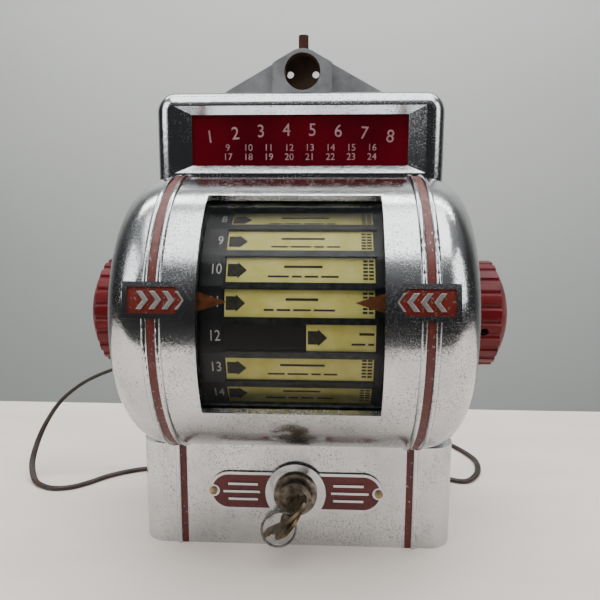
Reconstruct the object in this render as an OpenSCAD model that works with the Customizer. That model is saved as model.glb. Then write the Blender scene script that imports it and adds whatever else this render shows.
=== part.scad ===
// Wall-mounted selector for a music machine, 24 titles on a turning drum.
// A plated front cover with a red sign, a barrel with a window and a base with a lock
// slides off a raw rear casting that screws to the wall.
// Millimetres. X to the right, Y to the wall, Z up. The origin is on the surface that the
// base stands on, in the middle of the width and of the depth.

/* [Case] */
// Width of the barrel over its flat ends
case_w = 210; // [200:1:230]
// Outer radius of the barrel
barrel_r = 88; // [86:0.5:94]
// Radius of the barrel's end corners
barrel_corner_r = 26; // [22:1:30]
// Height of the barrel's underside above the surface
barrel_lift = 66.5; // [64:0.5:72]
// Distance from the drum axis back to the wall
wall_gap = 82; // [81:0.5:92]
// Distance from the drum axis back to the line where cover and rear casting part
parting_gap = 30; // [28:1:34]
// Thickness of the cast walls
shell = 3; // [2.5:0.1:3.5]
// Gap between the cover and the rear casting
case_gap = 0.3; // [0.2:0.05:0.6]
// How far the bead at the cover's rear edge stands out
bead_proud = 1.2; // [0.8:0.1:1.6]
// Width of the bead at the cover's rear edge
bead_w = 2.4; // [2:0.2:4]

/* [Base] */
// Width of the base
base_w = 207; // [198:1:207]
// Distance from the drum axis forward to the base's front
base_front = 24.7; // [23:0.1:27]
// Height of the base up to its ledge
base_h = 69.5; // [68:0.5:71]
// Radius of the base's front corners, seen from above
base_corner_r = 16; // [12:1:20]

/* [Header] */
// Width of the header that holds the sign
header_w = 192; // [184:1:196]
// Height of the header above the barrel
header_h = 56.5; // [55:0.5:62]
// Distance from the drum axis back to the header's front
header_back = 8; // [6:0.5:9]
// Radius of the header's top corners
header_corner_r = 13; // [12:0.5:16]
// Radius of the roll round the header's front edge
header_roll_r = 10; // [8:0.5:10.5]
// Width of the sign opening
sign_w = 144; // [136:1:148]
// Height of the sign opening
sign_h = 33.2; // [30:0.2:34]
// Distance from the sign opening's lower edge down to the barrel's top
sign_lift = 8.5; // [8:0.1:10]
// Thickness of the sign glass
sign_glass_t = 2.5; // [2:0.1:3]

/* [Ribs and badges] */
// Distance of each pair of ribs from the middle
rib_x = 74; // [71:0.5:76]
// Width of one rib
rib_w = 3.4; // [3:0.1:4]
// Width of the painted groove between two ribs
groove_w = 3.9; // [3.4:0.1:4.4]
// Thickness of the enamel in grooves and badges
enamel_t = 0.5; // [0.3:0.05:0.7]
// Length of a badge from its outer end to its tip
badge_len = 36.6; // [34:0.2:37]
// Length of a badge's pointed end
badge_point = 6.4; // [5:0.2:8]
// Height of a badge
badge_h = 19.8; // [18:0.2:21]
// Width of a badge's rim
badge_rim = 2.8; // [2.2:0.1:3.2]
// How far the badges stand out from the barrel
badge_proud = 2; // [1.8:0.1:2.4]

/* [Window] */
// Width of the window
window_w = 100; // [96:1:102]
// Angle of the window's upper edge above the drum axis
window_top_a = 58; // [54:1:60]
// Angle of the window's lower edge below the drum axis
window_low_a = 31.2; // [28:0.2:34]
// Thickness of the curved window pane
pane_t = 2; // [1.5:0.1:2.2]
// Angle of the line that is read, above the drum axis
reading_a = 12.6; // [11:0.1:14]

/* [Drum] */
// Number of titles round the drum
rows = 24; // [24]
// Distance from the drum axis to the face of a title strip
drum_r = 72; // [70:0.5:73]
// Width of the drum
drum_w = 104; // [102:1:106]
// Thickness of the drum's sheet
drum_t = 1.6; // [1.2:0.1:2]
// Length of a title strip
strip_len = 84; // [80:1:86]
// Height of a title strip
strip_h = 15.4; // [14.6:0.1:16]
// Thickness of a title strip
strip_t = 0.4; // [0.3:0.05:0.6]
// How far the middle of the strips lies to the right
strip_shift = 4.6; // [3:0.1:5.4]
// Radius of the drum shaft
shaft_r = 5; // [4.5:0.1:5.5]
// Radial play of the shaft in its bushes
shaft_play = 0.05; // [0.03:0.01:0.08]

/* [Knobs] */
// Radius of a knob over its flutes
knob_r = 34.5; // [30:0.5:38]
// Width of the fluted rim
knob_rim_w = 17; // [14:0.5:20]
// Width of the domed face outside the rim
knob_dome_w = 10.6; // [8:0.2:12]
// Gap between a knob and the side of the case
knob_gap = 3.4; // [3:0.1:5]
// Number of flutes round a knob
flutes = 24; // [20:1:28]
// Depth of a flute
flute_depth = 1.3; // [1:0.1:1.6]

/* [Nameplate and lock] */
// Length of the nameplate
plate_len = 114.5; // [110:0.5:118]
// Height of the nameplate's wings
plate_h = 26.6; // [24:0.2:28]
// Thickness of the nameplate's wings
plate_t = 1.5; // [1.2:0.1:2]
// Radius of the boss in the middle of the nameplate
boss_r = 19.8; // [18.8:0.1:20.5]
// Thickness of that boss
boss_t = 3; // [2.6:0.1:3.4]
// Height of the lock's axis above the surface
lock_z = 38; // [36:0.5:40]
// Radius of the lock's flange
lock_flange_r = 14.1; // [13.4:0.1:15]
// Radius of the lock's body
lock_r = 10.7; // [10:0.1:11.4]
// Length of the lock behind the base's front
lock_len = 24; // [22:0.5:26]
// Length of the cam behind the lock
cam_len = 20; // [19:0.5:21]

/* [Lug and coin cup] */
// Distance from the drum axis back to the front of the lug's block
lug_gap = 53; // [51:0.5:55]
// Width of the lug at its foot
lug_w = 144; // [130:1:150]
// Half the width of the lug's raised block
lug_block = 21.5; // [20:0.5:24]
// Height of the cup's middle above the header's top
cup_lift = 21.8; // [21:0.2:24]
// Radius of the coin cup
cup_r = 13; // [12.4:0.1:13.4]
// Depth of the coin cup
cup_depth = 14; // [12:0.2:14.6]
// Thickness of the lug's wall round the cup
cup_wall = 2.8; // [2.4:0.1:3.2]
// Width of the coin slot
coin_slot_w = 23; // [22:0.5:24]
// Height of the plunger's tip above the header's top
plunger_top = 52; // [50:0.5:56]
// Radius of the coin return plunger
plunger_r = 3.7; // [3.2:0.1:3.8]
// Radius of the plunger's stem inside the case
stem_r = 2.4; // [2:0.1:2.6]
// Travel of the plunger
plunger_travel = 6; // [4:0.5:6]

/* [Mounts] */
// Distance between wall screws, left to right
screw_w = 150; // [140:1:156]
// Distance between wall screws, bottom to top
screw_h = 252; // [246:1:256]
// Radius of the wall screw holes
screw_r = 2.75; // [2.25:0.05:3]
// Height of the lower wall screws above the surface
screw_z = 30; // [28:1:34]

/* [Hidden] */

$fn = 96;
eps = 0.01;
clear = 0.3;

// --- places worked out from the sizes above ---------------------------------------------
axis_y = (barrel_r + badge_proud - wall_gap) / 2;
axis_z = barrel_lift + barrel_r;
wall_y = axis_y + wall_gap;
parting_y = axis_y + parting_gap;
rear_y = parting_y + case_gap;
floor_y = wall_y - shell;
case_x = case_w / 2;
base_x = base_w / 2;
base_y = axis_y - base_front;
header_x = header_w / 2;
header_y = axis_y + header_back;
barrel_top = axis_z + barrel_r;
header_top = barrel_top + header_h;
inner_r = barrel_r - shell;
groove_half = groove_w / 2;
rib_r = rib_w / 2;
rib_low_a = -acos(base_front / barrel_r);
rib_top_a = 90 + asin(header_back / barrel_r);
badge_tip_x = rib_x - 21.6;
badge_out_x = badge_tip_x + badge_len;
badge_low_a = reading_a - asin(badge_h / 2 / (barrel_r + badge_proud));
badge_high_a = reading_a + asin(badge_h / 2 / (barrel_r + badge_proud));
row_a = 360 / rows;

// --- helpers ----------------------------------------------------------------------------
// Draws children, given in (x, z), from y0 back to y1
module along_y(y0, y1) {
    translate([0, y1, 0])
        rotate([90, 0, 0])
            linear_extrude(y1 - y0) children();
}

// Draws children, given in (y, z), from x0 to x1
module along_x(x0, x1) {
    translate([x0, 0, 0])
        rotate([90, 0, 90])
            linear_extrude(x1 - x0) children();
}

// Revolves children, given in (radius, x), about the drum axis from angle a0 up to a1.
// Angle 0 points to the front and 90 points up
module spin(a0, a1) {
    translate([0, axis_y, axis_z])
        rotate([0, -90, 0])
            rotate([0, 0, a0 - 90])
                rotate_extrude(angle = a1 - a0)
                    mirror([0, 1]) children();
}

// A disc or rod on the drum axis from x0 to x1
module rod_x(x0, x1, r) {
    translate([x0, axis_y, axis_z])
        rotate([0, 90, 0])
            cylinder(h = x1 - x0, r = r);
}

// A rod along Y from y0 back to y1 at x, z
module rod_y(x, z, y0, y1, r) {
    translate([x, y1, z])
        rotate([90, 0, 0])
            cylinder(h = y1 - y0, r = r);
}

// A rectangle from (x0, y0) to (x1, y1)
module area(x0, y0, x1, y1) {
    translate([x0, y0]) square([x1 - x0, y1 - y0]);
}

// A box from corner a to corner b
module block(a, b) {
    translate(a) cube(b - a);
}

// Children, and their mirror image on the left
module both_sides() {
    children();
    mirror([1, 0, 0]) children();
}

// A regular outline with n sides whose flats lie r from the middle, one of them at angle a
module flats(n, r, a) {
    corner = r / cos(180 / n);
    polygon([for (i = [0 : n - 1])
        let (t = a + (i + 0.5) * 360 / n) [-corner * cos(t), corner * sin(t)]]);
}

// --- outlines of the case ---------------------------------------------------------------
// Half of the barrel's section in (radius, x), drawn in by d
module barrel_section(d) {
    c = barrel_corner_r - d;
    r = barrel_r - d;
    x = case_x - d;
    area(0, -x, r - c, x);
    area(0, -x + c, r, x - c);
    for (s = [-1, 1])
        translate([r - c, s * (x - c)]) circle(c);
}

// The barrel from behind in (x, z), drawn in by d
module barrel_face(d) {
    translate([0, axis_z])
        rotate(90)
            union() {
                barrel_section(d);
                mirror([1, 0]) barrel_section(d);
            }
}

// The header from behind in (x, z), drawn in by d
module header_face(d) {
    x = header_x - d;
    c = header_corner_r;
    foot = barrel_top - 20;
    area(-x, foot, x, header_top - c);
    area(-header_x + c, foot, header_x - c, header_top - d);
    for (s = [-1, 1])
        translate([s * (header_x - c), header_top - c]) circle(c - d);
}

// The way from the base up into the barrel, in (x, z)
module base_way() {
    area(-rib_x, base_h - shell - 1, rib_x, base_h + 8);
}

// The base from behind in (x, z), drawn in by d
module base_face(d) {
    area(-base_x + d, d, base_x - d, base_h - d);
    base_way();
}

// The whole case from behind, drawn in by d
module case_face(d) {
    barrel_face(d);
    header_face(d);
    base_face(d);
}

// The base seen from above in (x, y), drawn in by d
module base_plan(d) {
    c = base_corner_r - d;
    x = base_x - d;
    area(-x, base_y + d + c, x, parting_y + (d > 0 ? 1 : 0));
    area(-x + c, base_y + d, x - c, parting_y);
    for (s = [-1, 1])
        translate([s * (x - c), base_y + d + c]) circle(c);
}

// The header's front part, rounded by the roll along its outer edge
module header_front() {
    roll_y = header_y + header_roll_r;
    side_x = header_x - header_roll_r;
    foot = barrel_top - 20;
    along_y(header_y, roll_y) header_face(header_roll_r - 1);
    along_y(roll_y, parting_y) header_face(0);
    for (s = [-1, 1]) {
        translate([s * side_x, roll_y, foot])
            cylinder(h = header_top - header_corner_r - foot, r = header_roll_r);
        translate([s * (header_x - header_corner_r), roll_y, header_top - header_corner_r])
            rotate([90, 0, 0])
                rotate_extrude() {
                    area(0, -header_roll_r, header_corner_r - header_roll_r, header_roll_r);
                    intersection() {
                        translate([header_corner_r - header_roll_r, 0]) circle(header_roll_r);
                        area(0, -header_roll_r, header_corner_r + 1, header_roll_r);
                    }
                }
    }
    translate([-header_x + header_corner_r, roll_y, header_top - header_roll_r])
        rotate([0, 90, 0])
            cylinder(h = header_w - 2 * header_corner_r, r = header_roll_r);
}

// --- sign, badges and window ------------------------------------------------------------
sign_z = barrel_top + sign_lift;
sign_seat_y = header_y + 4.5;
sign_lip = 1;
sign_back_y = sign_seat_y + sign_lip;
// The bevel round the sign is wider at the sides
bevel_side = 11;
bevel_top = 5;

// The pocket in the header's front, narrowing to the sign opening
module sign_pocket() {
    x = sign_w / 2;
    y0 = header_y - 1;
    slope = 1 / (sign_seat_y - header_y);
    intersection() {
        translate([0, 0, sign_z - 20])
            linear_extrude(sign_h + 40)
                polygon([[-x - bevel_side * (1 + slope), y0], [x + bevel_side * (1 + slope), y0],
                    [x, sign_seat_y], [-x, sign_seat_y]]);
        along_x(-x - 40, x + 40)
            polygon([[y0, sign_z - bevel_top * (1 + slope)],
                [sign_seat_y, sign_z], [sign_seat_y, sign_z + sign_h],
                [y0, sign_z + sign_h + bevel_top * (1 + slope)]]);
    }
    along_y(sign_seat_y - eps, sign_back_y + eps) area(-x, sign_z, x, sign_z + sign_h);
}

// A badge's outline on the right in (x, height), drawn in by d
module badge_outline(d) {
    half = badge_h / 2;
    tip_a = atan(half / badge_point);
    tip_x = badge_tip_x + d / sin(tip_a);
    shoulder_x = tip_x + (half - d) / tan(tip_a);
    polygon([[tip_x, 0], [shoulder_x, half - d], [badge_out_x - d, half - d],
        [badge_out_x - d, d - half], [shoulder_x, d - half]]);
}

// The part of a badge, drawn in by d, that lies between the radii r0 and r1
module badge(d, r0, r1) {
    intersection() {
        translate([0, axis_y, axis_z])
            rotate([90 - reading_a, 0, 0])
                linear_extrude(barrel_r + 20) badge_outline(d);
        spin(reading_a - 14, reading_a + 14)
            area(r0, badge_tip_x - 5, r1, badge_out_x + 5);
    }
}

// A sector of the barrel round the window, w wide, from r0 to r1, grown by g
module window_sector(g, r0, r1) {
    a = g / barrel_r * 180 / PI;
    spin(-window_low_a - a, window_top_a + a)
        area(r0, -window_w / 2 - g, r1, window_w / 2 + g);
}

// Two beads on the right with the groove between them, on barrel and base
module ribs() {
    for (s = [-1, 1]) {
        x = rib_x + s * (groove_half + rib_r);
        spin(rib_low_a, rib_top_a)
            translate([barrel_r, x]) circle(rib_r);
        translate([x, base_y, 0])
            cylinder(h = base_h, r = rib_r);
    }
}

// --- the front cover --------------------------------------------------------------------
notch_r = shaft_r + 2.5;
lock_hole_r = 9.7;

module cover_outside() {
    spin(-90, 90) barrel_section(0);
    along_y(axis_y, parting_y) barrel_face(0);
    linear_extrude(base_h) base_plan(0);
    header_front();
    intersection() {
        along_y(parting_y - bead_w, parting_y)
            case_face(-bead_proud);
        block([-case_w, 0, 0], [case_w, wall_y, header_top + 5]);
    }
    both_sides() {
        ribs();
        badge(0, barrel_r - barrel_corner_r / 3, barrel_r + badge_proud);
    }
    window_sector(1.4, inner_r, barrel_r + 0.7);
}

module cover_inside() {
    back = parting_y + 1;
    spin(-90, 90) barrel_section(shell);
    along_y(axis_y, back) barrel_face(shell);
    translate([0, 0, shell])
        linear_extrude(base_h - 2 * shell) base_plan(shell);
    along_y(base_y + shell, back) base_way();
    along_y(sign_back_y, header_y + header_roll_r + eps) header_face(header_roll_r - 1);
    along_y(header_y + header_roll_r, back) header_face(shell);
}

module front_cover() {
    color("gainsboro")
        difference() {
            cover_outside();
            cover_inside();
            sign_pocket();
            window_sector(0, inner_r - 5, barrel_r + 5);
            both_sides() {
                badge(badge_rim, barrel_r + badge_proud - 1.5, barrel_r + 5);
                rod_x(case_x - shell - 1, case_x + 2, notch_r);
                block([case_x - shell - 1, axis_y, axis_z - notch_r],
                    [case_x + 2, parting_y + 1, axis_z + notch_r]);
            }
            rod_y(0, lock_z, base_y - 1, base_y + shell + 1, lock_hole_r);
        }
}

// Enamel in the right-hand groove, above and below the badge and on the base
module stripe_enamel() {
    x0 = rib_x - groove_half;
    x1 = rib_x + groove_half;
    gap_a = asin(clear / barrel_r);
    color("firebrick") {
        spin(badge_high_a + gap_a, 90) area(barrel_r, x0, barrel_r + enamel_t, x1);
        block([x0 + eps, axis_y - 1, barrel_top + eps],
            [x1 - eps, header_y - clear, barrel_top + enamel_t - eps]);
        spin(rib_low_a + gap_a, badge_low_a - gap_a) area(barrel_r, x0, barrel_r + enamel_t, x1);
        block([x0, base_y - enamel_t, clear], [x1, base_y, base_h - 1]);
    }
}

module badge_enamel() {
    floor_r = barrel_r + badge_proud - 1.5;
    color("tomato") badge(badge_rim, floor_r, floor_r + enamel_t);
}

glass_over = 3.5;

module sign_glass() {
    y0 = sign_back_y + clear;
    color("darkred")
        along_y(y0, y0 + sign_glass_t)
            area(-sign_w / 2 - glass_over, sign_z - glass_over,
                sign_w / 2 + glass_over, sign_z + sign_h + glass_over);
}

// A sheet frame behind the sign glass, with a window for the light of the lamps
module sign_retainer() {
    y0 = sign_back_y + sign_glass_t + 2 * clear;
    over = glass_over + 1;
    color("silver")
        along_y(y0, y0 + 1)
            difference() {
                area(-sign_w / 2 - over, sign_z - over, sign_w / 2 + over, sign_z + sign_h + over);
                area(-sign_w / 2 + 6, sign_z + 3, sign_w / 2 - 6, sign_z + sign_h - 3);
            }
}

pane_r = inner_r - clear;
pane_over = 5;

module window_pane() {
    color("lightcyan", 0.4)
        window_sector(pane_over, pane_r - pane_t, pane_r);
}

// A thin frame that holds the pane against the cover
retainer_t = 1.2;
retainer_r = pane_r - pane_t - clear;

module window_retainer() {
    color("silver")
        difference() {
            window_sector(pane_over, retainer_r - retainer_t, retainer_r);
            window_sector(0.5, retainer_r - 10, retainer_r + 10);
        }
}

// The right-hand pointer, a blade behind the pane whose tip marks the reading line
pointer_len = 15.4;
pointer_half = 5.2;
pointer_t = 0.8;

module pointer() {
    r1 = retainer_r - retainer_t;
    color("sienna")
        intersection() {
            translate([0, axis_y, axis_z])
                rotate([90 - reading_a, 0, 0])
                    linear_extrude(barrel_r)
                        polygon([[window_w / 2 - pointer_len, 0],
                            [window_w / 2, pointer_half], [window_w / 2 + 4, pointer_half],
                            [window_w / 2 + 4, -pointer_half], [window_w / 2, -pointer_half]]);
            spin(reading_a - 14, reading_a + 14)
                area(r1 - pointer_t, 0, r1, window_w);
        }
}

// --- nameplate and lock -----------------------------------------------------------------
plate_y = base_y - plate_t;
boss_y = base_y - boss_t;
lock_face_y = base_y - 11;
flange_y = boss_y - 3;
lock_back_y = base_y + lock_len;
plug_r = 7;
plug_play = 0.05;
plate_screw_x = plate_len / 2 - 2.9;
plate_screw_r = 2.6;

// The nameplate's wings and boss in (x, z), drawn in by d
module plate_outline(d) {
    half = plate_h / 2;
    translate([0, lock_z]) {
        area(-plate_len / 2 + half, d - half, plate_len / 2 - half, half - d);
        for (s = [-1, 1])
            translate([s * (plate_len / 2 - half), 0]) circle(half - d);
    }
}

// The red fields: the wings inside their rim, less the boss and a ring round each screw
module plate_fields(d) {
    difference() {
        plate_outline(1.9 + d);
        translate([0, lock_z]) circle(boss_r + d);
        for (s = [-1, 1])
            translate([s * plate_screw_x, lock_z]) circle(plate_screw_r + 1.5 + d);
    }
}

module nameplate() {
    field_y = plate_y + enamel_t;
    color("silver")
        difference() {
            union() {
                along_y(plate_y, base_y) plate_outline(0);
                rod_y(0, lock_z, boss_y, base_y, boss_r);
            }
            along_y(plate_y - 1, field_y) plate_fields(0);
            rod_y(0, lock_z, boss_y - 1, base_y + 1, lock_hole_r);
            for (s = [-1, 1])
                rod_y(s * plate_screw_x, lock_z, plate_y - 1, base_y + 1, 1.3);
        }
}

module nameplate_enamel() {
    color("maroon")
        along_y(plate_y, plate_y + enamel_t) plate_fields(0);
}

module nameplate_screws() {
    color("khaki")
        for (s = [-1, 1]) {
            x = s * plate_screw_x;
            rod_y(x, lock_z, plate_y - 0.9, plate_y, plate_screw_r);
            rod_y(x, lock_z, plate_y, base_y, 1.25);
        }
}

// Flange and body with the bore for the plug, threaded outside behind the cover
module lock_body() {
    color("dimgray")
        difference() {
            union() {
                rod_y(0, lock_z, flange_y, boss_y, lock_flange_r);
                rod_y(0, lock_z, lock_face_y, flange_y, lock_r);
                rod_y(0, lock_z, boss_y, lock_back_y, lock_hole_r - 0.1);
            }
            rod_y(0, lock_z, lock_face_y - 1, lock_back_y + 1, plug_r + plug_play);
        }
}

nut_t = 3.6;

module lock_nut() {
    y0 = base_y + shell;
    color("goldenrod")
        difference() {
            along_y(y0, y0 + nut_t) translate([0, lock_z]) rotate(30) circle(r = 14.6, $fn = 6);
            rod_y(0, lock_z, y0 - 1, y0 + nut_t + 1, lock_hole_r);
        }
}

key_blade_w = 7.6;
key_blade_t = 2;
key_turn_at_rest = 45;
keyway_gap = 0.15;

// Children, drawn round the lock's axis with the key's flat upright, turned as the key is
module on_lock() {
    translate([0, 0, lock_z])
        rotate([0, key_turn_at_rest, 0]) children();
}

cam_t = 2;
cam_y = lock_back_y + clear;

// The plug with its keyway, and the cam on its rear end, which points left when open
module lock_plug() {
    y0 = lock_face_y - 0.4;
    color("gray")
        difference() {
            union() {
                rod_y(0, lock_z, y0, cam_y, plug_r);
                rod_y(0, lock_z, cam_y, cam_y + cam_t + 2, 4);
                along_y(cam_y, cam_y + cam_t)
                    translate([0, lock_z]) {
                        area(-cam_len + 5, -5, 0, 5);
                        translate([-cam_len + 5, 0]) circle(5);
                        circle(plug_r);
                    }
            }
            on_lock()
                block([-key_blade_t / 2 - keyway_gap, y0 - 1, -key_blade_w / 2 - keyway_gap],
                    [key_blade_t / 2 + keyway_gap, y0 + 22, key_blade_w / 2 + keyway_gap]);
        }
}

// --- keys -------------------------------------------------------------------------------
bow_len = 19;
bow_w = 21;
bow_hole_r = 2.9;
bow_hole_in = 5;
bow_neck = 4;
blade_len = 16;

// Distance from a key's shoulder to its hole
key_hole_in = bow_neck + bow_len - bow_hole_in;

// A flat key with its blade along +Y from y = 0 and its bow in front of it, flat upright
module flat_key() {
    rotate([0, 90, 0])
        translate([0, 0, -key_blade_t / 2])
            linear_extrude(key_blade_t)
                difference() {
                    union() {
                        area(-key_blade_w / 2, -bow_neck - 2, key_blade_w / 2, 1);
                        translate([0, -bow_neck - bow_len / 2])
                            intersection() {
                                translate([0, bow_len * 0.26]) circle(bow_len * 0.76);
                                translate([0, -bow_len * 0.26]) circle(bow_len * 0.76);
                                area(-bow_w / 2, -bow_len / 2, bow_w / 2, bow_len / 2);
                            }
                        polygon([[-key_blade_w / 2, 0], [-key_blade_w / 2, blade_len - 3],
                            [0, blade_len], [key_blade_w / 2, blade_len - 3],
                            [key_blade_w / 2 - 1.6, blade_len - 5],
                            [key_blade_w / 2 - 0.6, blade_len - 7.5],
                            [key_blade_w / 2 - 2.2, blade_len - 10],
                            [key_blade_w / 2 - 0.8, blade_len - 12.5], [key_blade_w / 2, 2]]);
                    }
                    translate([0, -key_hole_in]) circle(bow_hole_r);
                }
}

module door_key() {
    color("darkkhaki")
        translate([0, lock_face_y - 1, 0]) on_lock() flat_key();
}

ring_r = 10.5;
ring_wire_r = 0.8;
ring_tilt = 75;
// The ring hangs on the lower edge of the bow's hole, and the spare key on the ring
ring_drop = bow_hole_r - ring_wire_r - clear;
key_hole_y = lock_face_y - 1 - key_hole_in;
spare_shift = 3.4;
spare_lean = -55;

// Children, drawn with the bow's hole at the origin and the key's flat in YZ
module on_bow() {
    translate([0, key_hole_y, 0])
        on_lock() children();
}

module key_ring() {
    color("dimgray")
        on_bow()
            translate([0, 0, -ring_drop])
                rotate([ring_tilt, 0, 0])
                    translate([0, -ring_r, 0])
                        rotate_extrude() translate([ring_r, 0]) circle(ring_wire_r, $fn = 24);
}

// The spare key hangs beside the bow, with its blade leaning down to the left
module spare_key() {
    color("peru")
        on_bow()
            translate([spare_shift, 0, -2 * ring_drop - 0.4])
                rotate([spare_lean, 0, 0])
                    translate([0, key_hole_in, 0]) flat_key();
}

// --- the turning drum -------------------------------------------------------------------
sheet_r = drum_r - strip_t;
drum_x = drum_w / 2;
rail_x0 = strip_shift - strip_len / 2 - 1;
rail_x1 = strip_shift + strip_len / 2 + 1;
rail_r = drum_r + 2.8;
rail_w = 2.4;
rail_lip = 0.6;
hub_r = 11;

// A flat-sided bar round the drum from x0 to x1 whose flats lie r from the axis
module drum_prism(x0, x1, r) {
    along_x(x0, x1)
        translate([axis_y, axis_z]) flats(rows, r, reading_a);
}

// Children, drawn in (radial, x, sideways) at angle a of the drum
module at_row(a) {
    translate([0, axis_y, axis_z])
        rotate([90 - a, 0, 0])
            children();
}

module drum_shaft() {
    color("silver")
        rod_x(-case_x - 28, case_x + 28, shaft_r);
}

module drum_shell() {
    color("darkslategray")
        difference() {
            drum_prism(-drum_x, drum_x, sheet_r);
            drum_prism(-drum_x - 1, drum_x + 1, sheet_r - drum_t);
        }
}

end_t = 2;

// The right-hand end disc of the drum with its hub and lightening holes
module drum_end() {
    color("slategray")
        difference() {
            union() {
                drum_prism(drum_x - end_t, drum_x, sheet_r - drum_t);
                rod_x(drum_x - 14, drum_x, hub_r);
            }
            rod_x(drum_x - 20, drum_x + 1, shaft_r);
            for (a = [0 : 60 : 300])
                translate([drum_x - 5, axis_y + 40 * cos(a), axis_z + 40 * sin(a)])
                    rotate([0, 90, 0])
                        cylinder(h = 8, r = 12);
        }
}

band_x0 = -drum_x + 1.5;
band_x1 = rail_x0 - clear;

module number_band() {
    color("black")
        difference() {
            drum_prism(band_x0, band_x1, sheet_r + 0.5);
            drum_prism(band_x0 - 1, band_x1 + 1, sheet_r);
        }
}

// A rail over each edge of the drum's flats, whose lips hold the strips
module strip_rails() {
    color("dimgray")
        difference() {
            for (i = [0 : rows - 1])
                at_row(reading_a + (i + 0.5) * row_a) {
                    block([rail_x0, -rail_w / 2, sheet_r - 1], [rail_x1, rail_w / 2, rail_r]);
                    block([rail_x0, -rail_w / 2 - rail_lip, rail_r - 0.7],
                        [rail_x1, rail_w / 2 + rail_lip, rail_r]);
                }
            drum_prism(rail_x0 - 1, rail_x1 + 1, sheet_r);
        }
}

module title_strips() {
    x0 = strip_shift - strip_len / 2;
    color("khaki")
        for (i = [0 : rows - 1])
            at_row(reading_a + i * row_a)
                block([x0, -strip_h / 2, sheet_r], [x0 + strip_len, strip_h / 2, drum_r]);
}

wheel_x = drum_x + 4;
wheel_t = 3;
wheel_r = 45;
tooth = 1.5;

// A wheel with one smooth hollow for each title
module detent_wheel() {
    color("goldenrod")
        difference() {
            union() {
                along_x(wheel_x, wheel_x + wheel_t)
                    translate([axis_y, axis_z])
                        polygon([for (i = [0 : 6 * rows - 1])
                            let (a = i * 60 / rows, r = wheel_r - tooth - tooth * cos(rows * a))
                            [-r * cos(a + reading_a), r * sin(a + reading_a)]]);
                rod_x(wheel_x - 2, wheel_x + wheel_t + 3, 9);
            }
            rod_x(wheel_x - 5, wheel_x + wheel_t + 5, shaft_r);
        }
}

disc_x = -drum_x - 13;
disc_t = 2.5;
stud_r = 2;
stud_h = 1.5;
stud_ring = 48;

// The arm that carries the brush over the contact studs
module wiper_arm() {
    x0 = disc_x + disc_t + stud_h + clear;
    color("goldenrod")
        difference() {
            union() {
                rod_x(x0, -drum_x - 2, 9);
                at_row(reading_a)
                    block([x0 + 1.5, -4.5, 0], [x0 + 3, 4.5, stud_ring + 4]);
                at_row(reading_a)
                    translate([x0, 0, stud_ring])
                        rotate([0, 90, 0]) cylinder(h = 2.5, r = 2.5);
            }
            rod_x(x0 - 1, -drum_x, shaft_r);
        }
}

knob_x = case_x + knob_gap;
knob_hub_r = 11;
knob_wall = 4;
knob_screw_x = knob_x + 7;
knob_screw_a = -11;

// The right-hand knob: fluted rim, domed face, hollow behind with a hub on the shaft
module knob() {
    rim_x = knob_x + knob_rim_w;
    dome_base = knob_r - 1.2;
    dome_r = (pow(dome_base, 2) + pow(knob_dome_w, 2)) / (2 * knob_dome_w);
    color("firebrick")
        difference() {
            union() {
                rod_x(knob_x, rim_x, knob_r);
                translate([0, axis_y, axis_z])
                    rotate([0, 90, 0])
                        rotate_extrude()
                            intersection() {
                                translate([0, rim_x + knob_dome_w - dome_r]) circle(dome_r, $fn = 160);
                                area(0, rim_x, dome_base, rim_x + knob_dome_w + 1);
                            }
            }
            for (i = [0 : flutes - 1])
                translate([knob_x - 1, axis_y, axis_z])
                    rotate([i * 360 / flutes, 0, 0])
                        translate([0, 0, knob_r + 2.6 - flute_depth])
                            rotate([0, 90, 0]) cylinder(h = knob_rim_w + knob_dome_w + 2, r = 2.6);
            difference() {
                rod_x(knob_x - 1, rim_x - knob_wall, knob_r - knob_wall - flute_depth);
                rod_x(knob_x - 2, rim_x, knob_hub_r);
            }
            rod_x(knob_x - 1, case_x + 28, shaft_r);
            knob_bore(2.6);
        }
}

// The radial hole for a knob's set screw
module knob_bore(r) {
    at_row(knob_screw_a)
        translate([knob_screw_x, 0, shaft_r])
            cylinder(h = knob_r, r = r);
}

module knob_screws() {
    color("dimgray")
        both_sides()
            at_row(knob_screw_a)
                translate([knob_screw_x, 0, shaft_r])
                    cylinder(h = knob_hub_r - shaft_r - 0.5, r = 2.5);
}

// --- rear casting with the lug and the coin cup -----------------------------------------
lug_y = axis_y + lug_gap;
wing_y = lug_y + 4;
cup_z = header_top + cup_lift;
cup_floor_y = lug_y + cup_depth;
cup_floor_t = 2.5;
coin_slot_t = 3.4;
cup_hole_x = 9.5;
cup_hole_r = 2.6;
plunger_y = floor_y - plunger_r - 0.7;
plunger_seat_z = header_top + 1;
plunger_play = 0.08;
lug_top_r = cup_r + cup_wall;
wing_foot_x = lug_w / 2;
cable_x = -60;
cable_z = 90;
cable_r = 5;

// The triangle that rises from the case to the round top of the lug, in (x, z)
module lug_wings() {
    polygon([[-wing_foot_x, header_top - shell], [wing_foot_x, header_top - shell],
        [wing_foot_x, header_top], [lug_top_r * 0.52, cup_z + lug_top_r * 0.85],
        [-lug_top_r * 0.52, cup_z + lug_top_r * 0.85], [-wing_foot_x, header_top]]);
}

// The raised block: the wings' outline between its two steps, and the round top
module lug_face() {
    intersection() {
        lug_wings();
        area(-lug_block, header_top - shell, lug_block, cup_z + lug_top_r);
    }
    translate([0, cup_z]) circle(lug_top_r);
}

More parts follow.
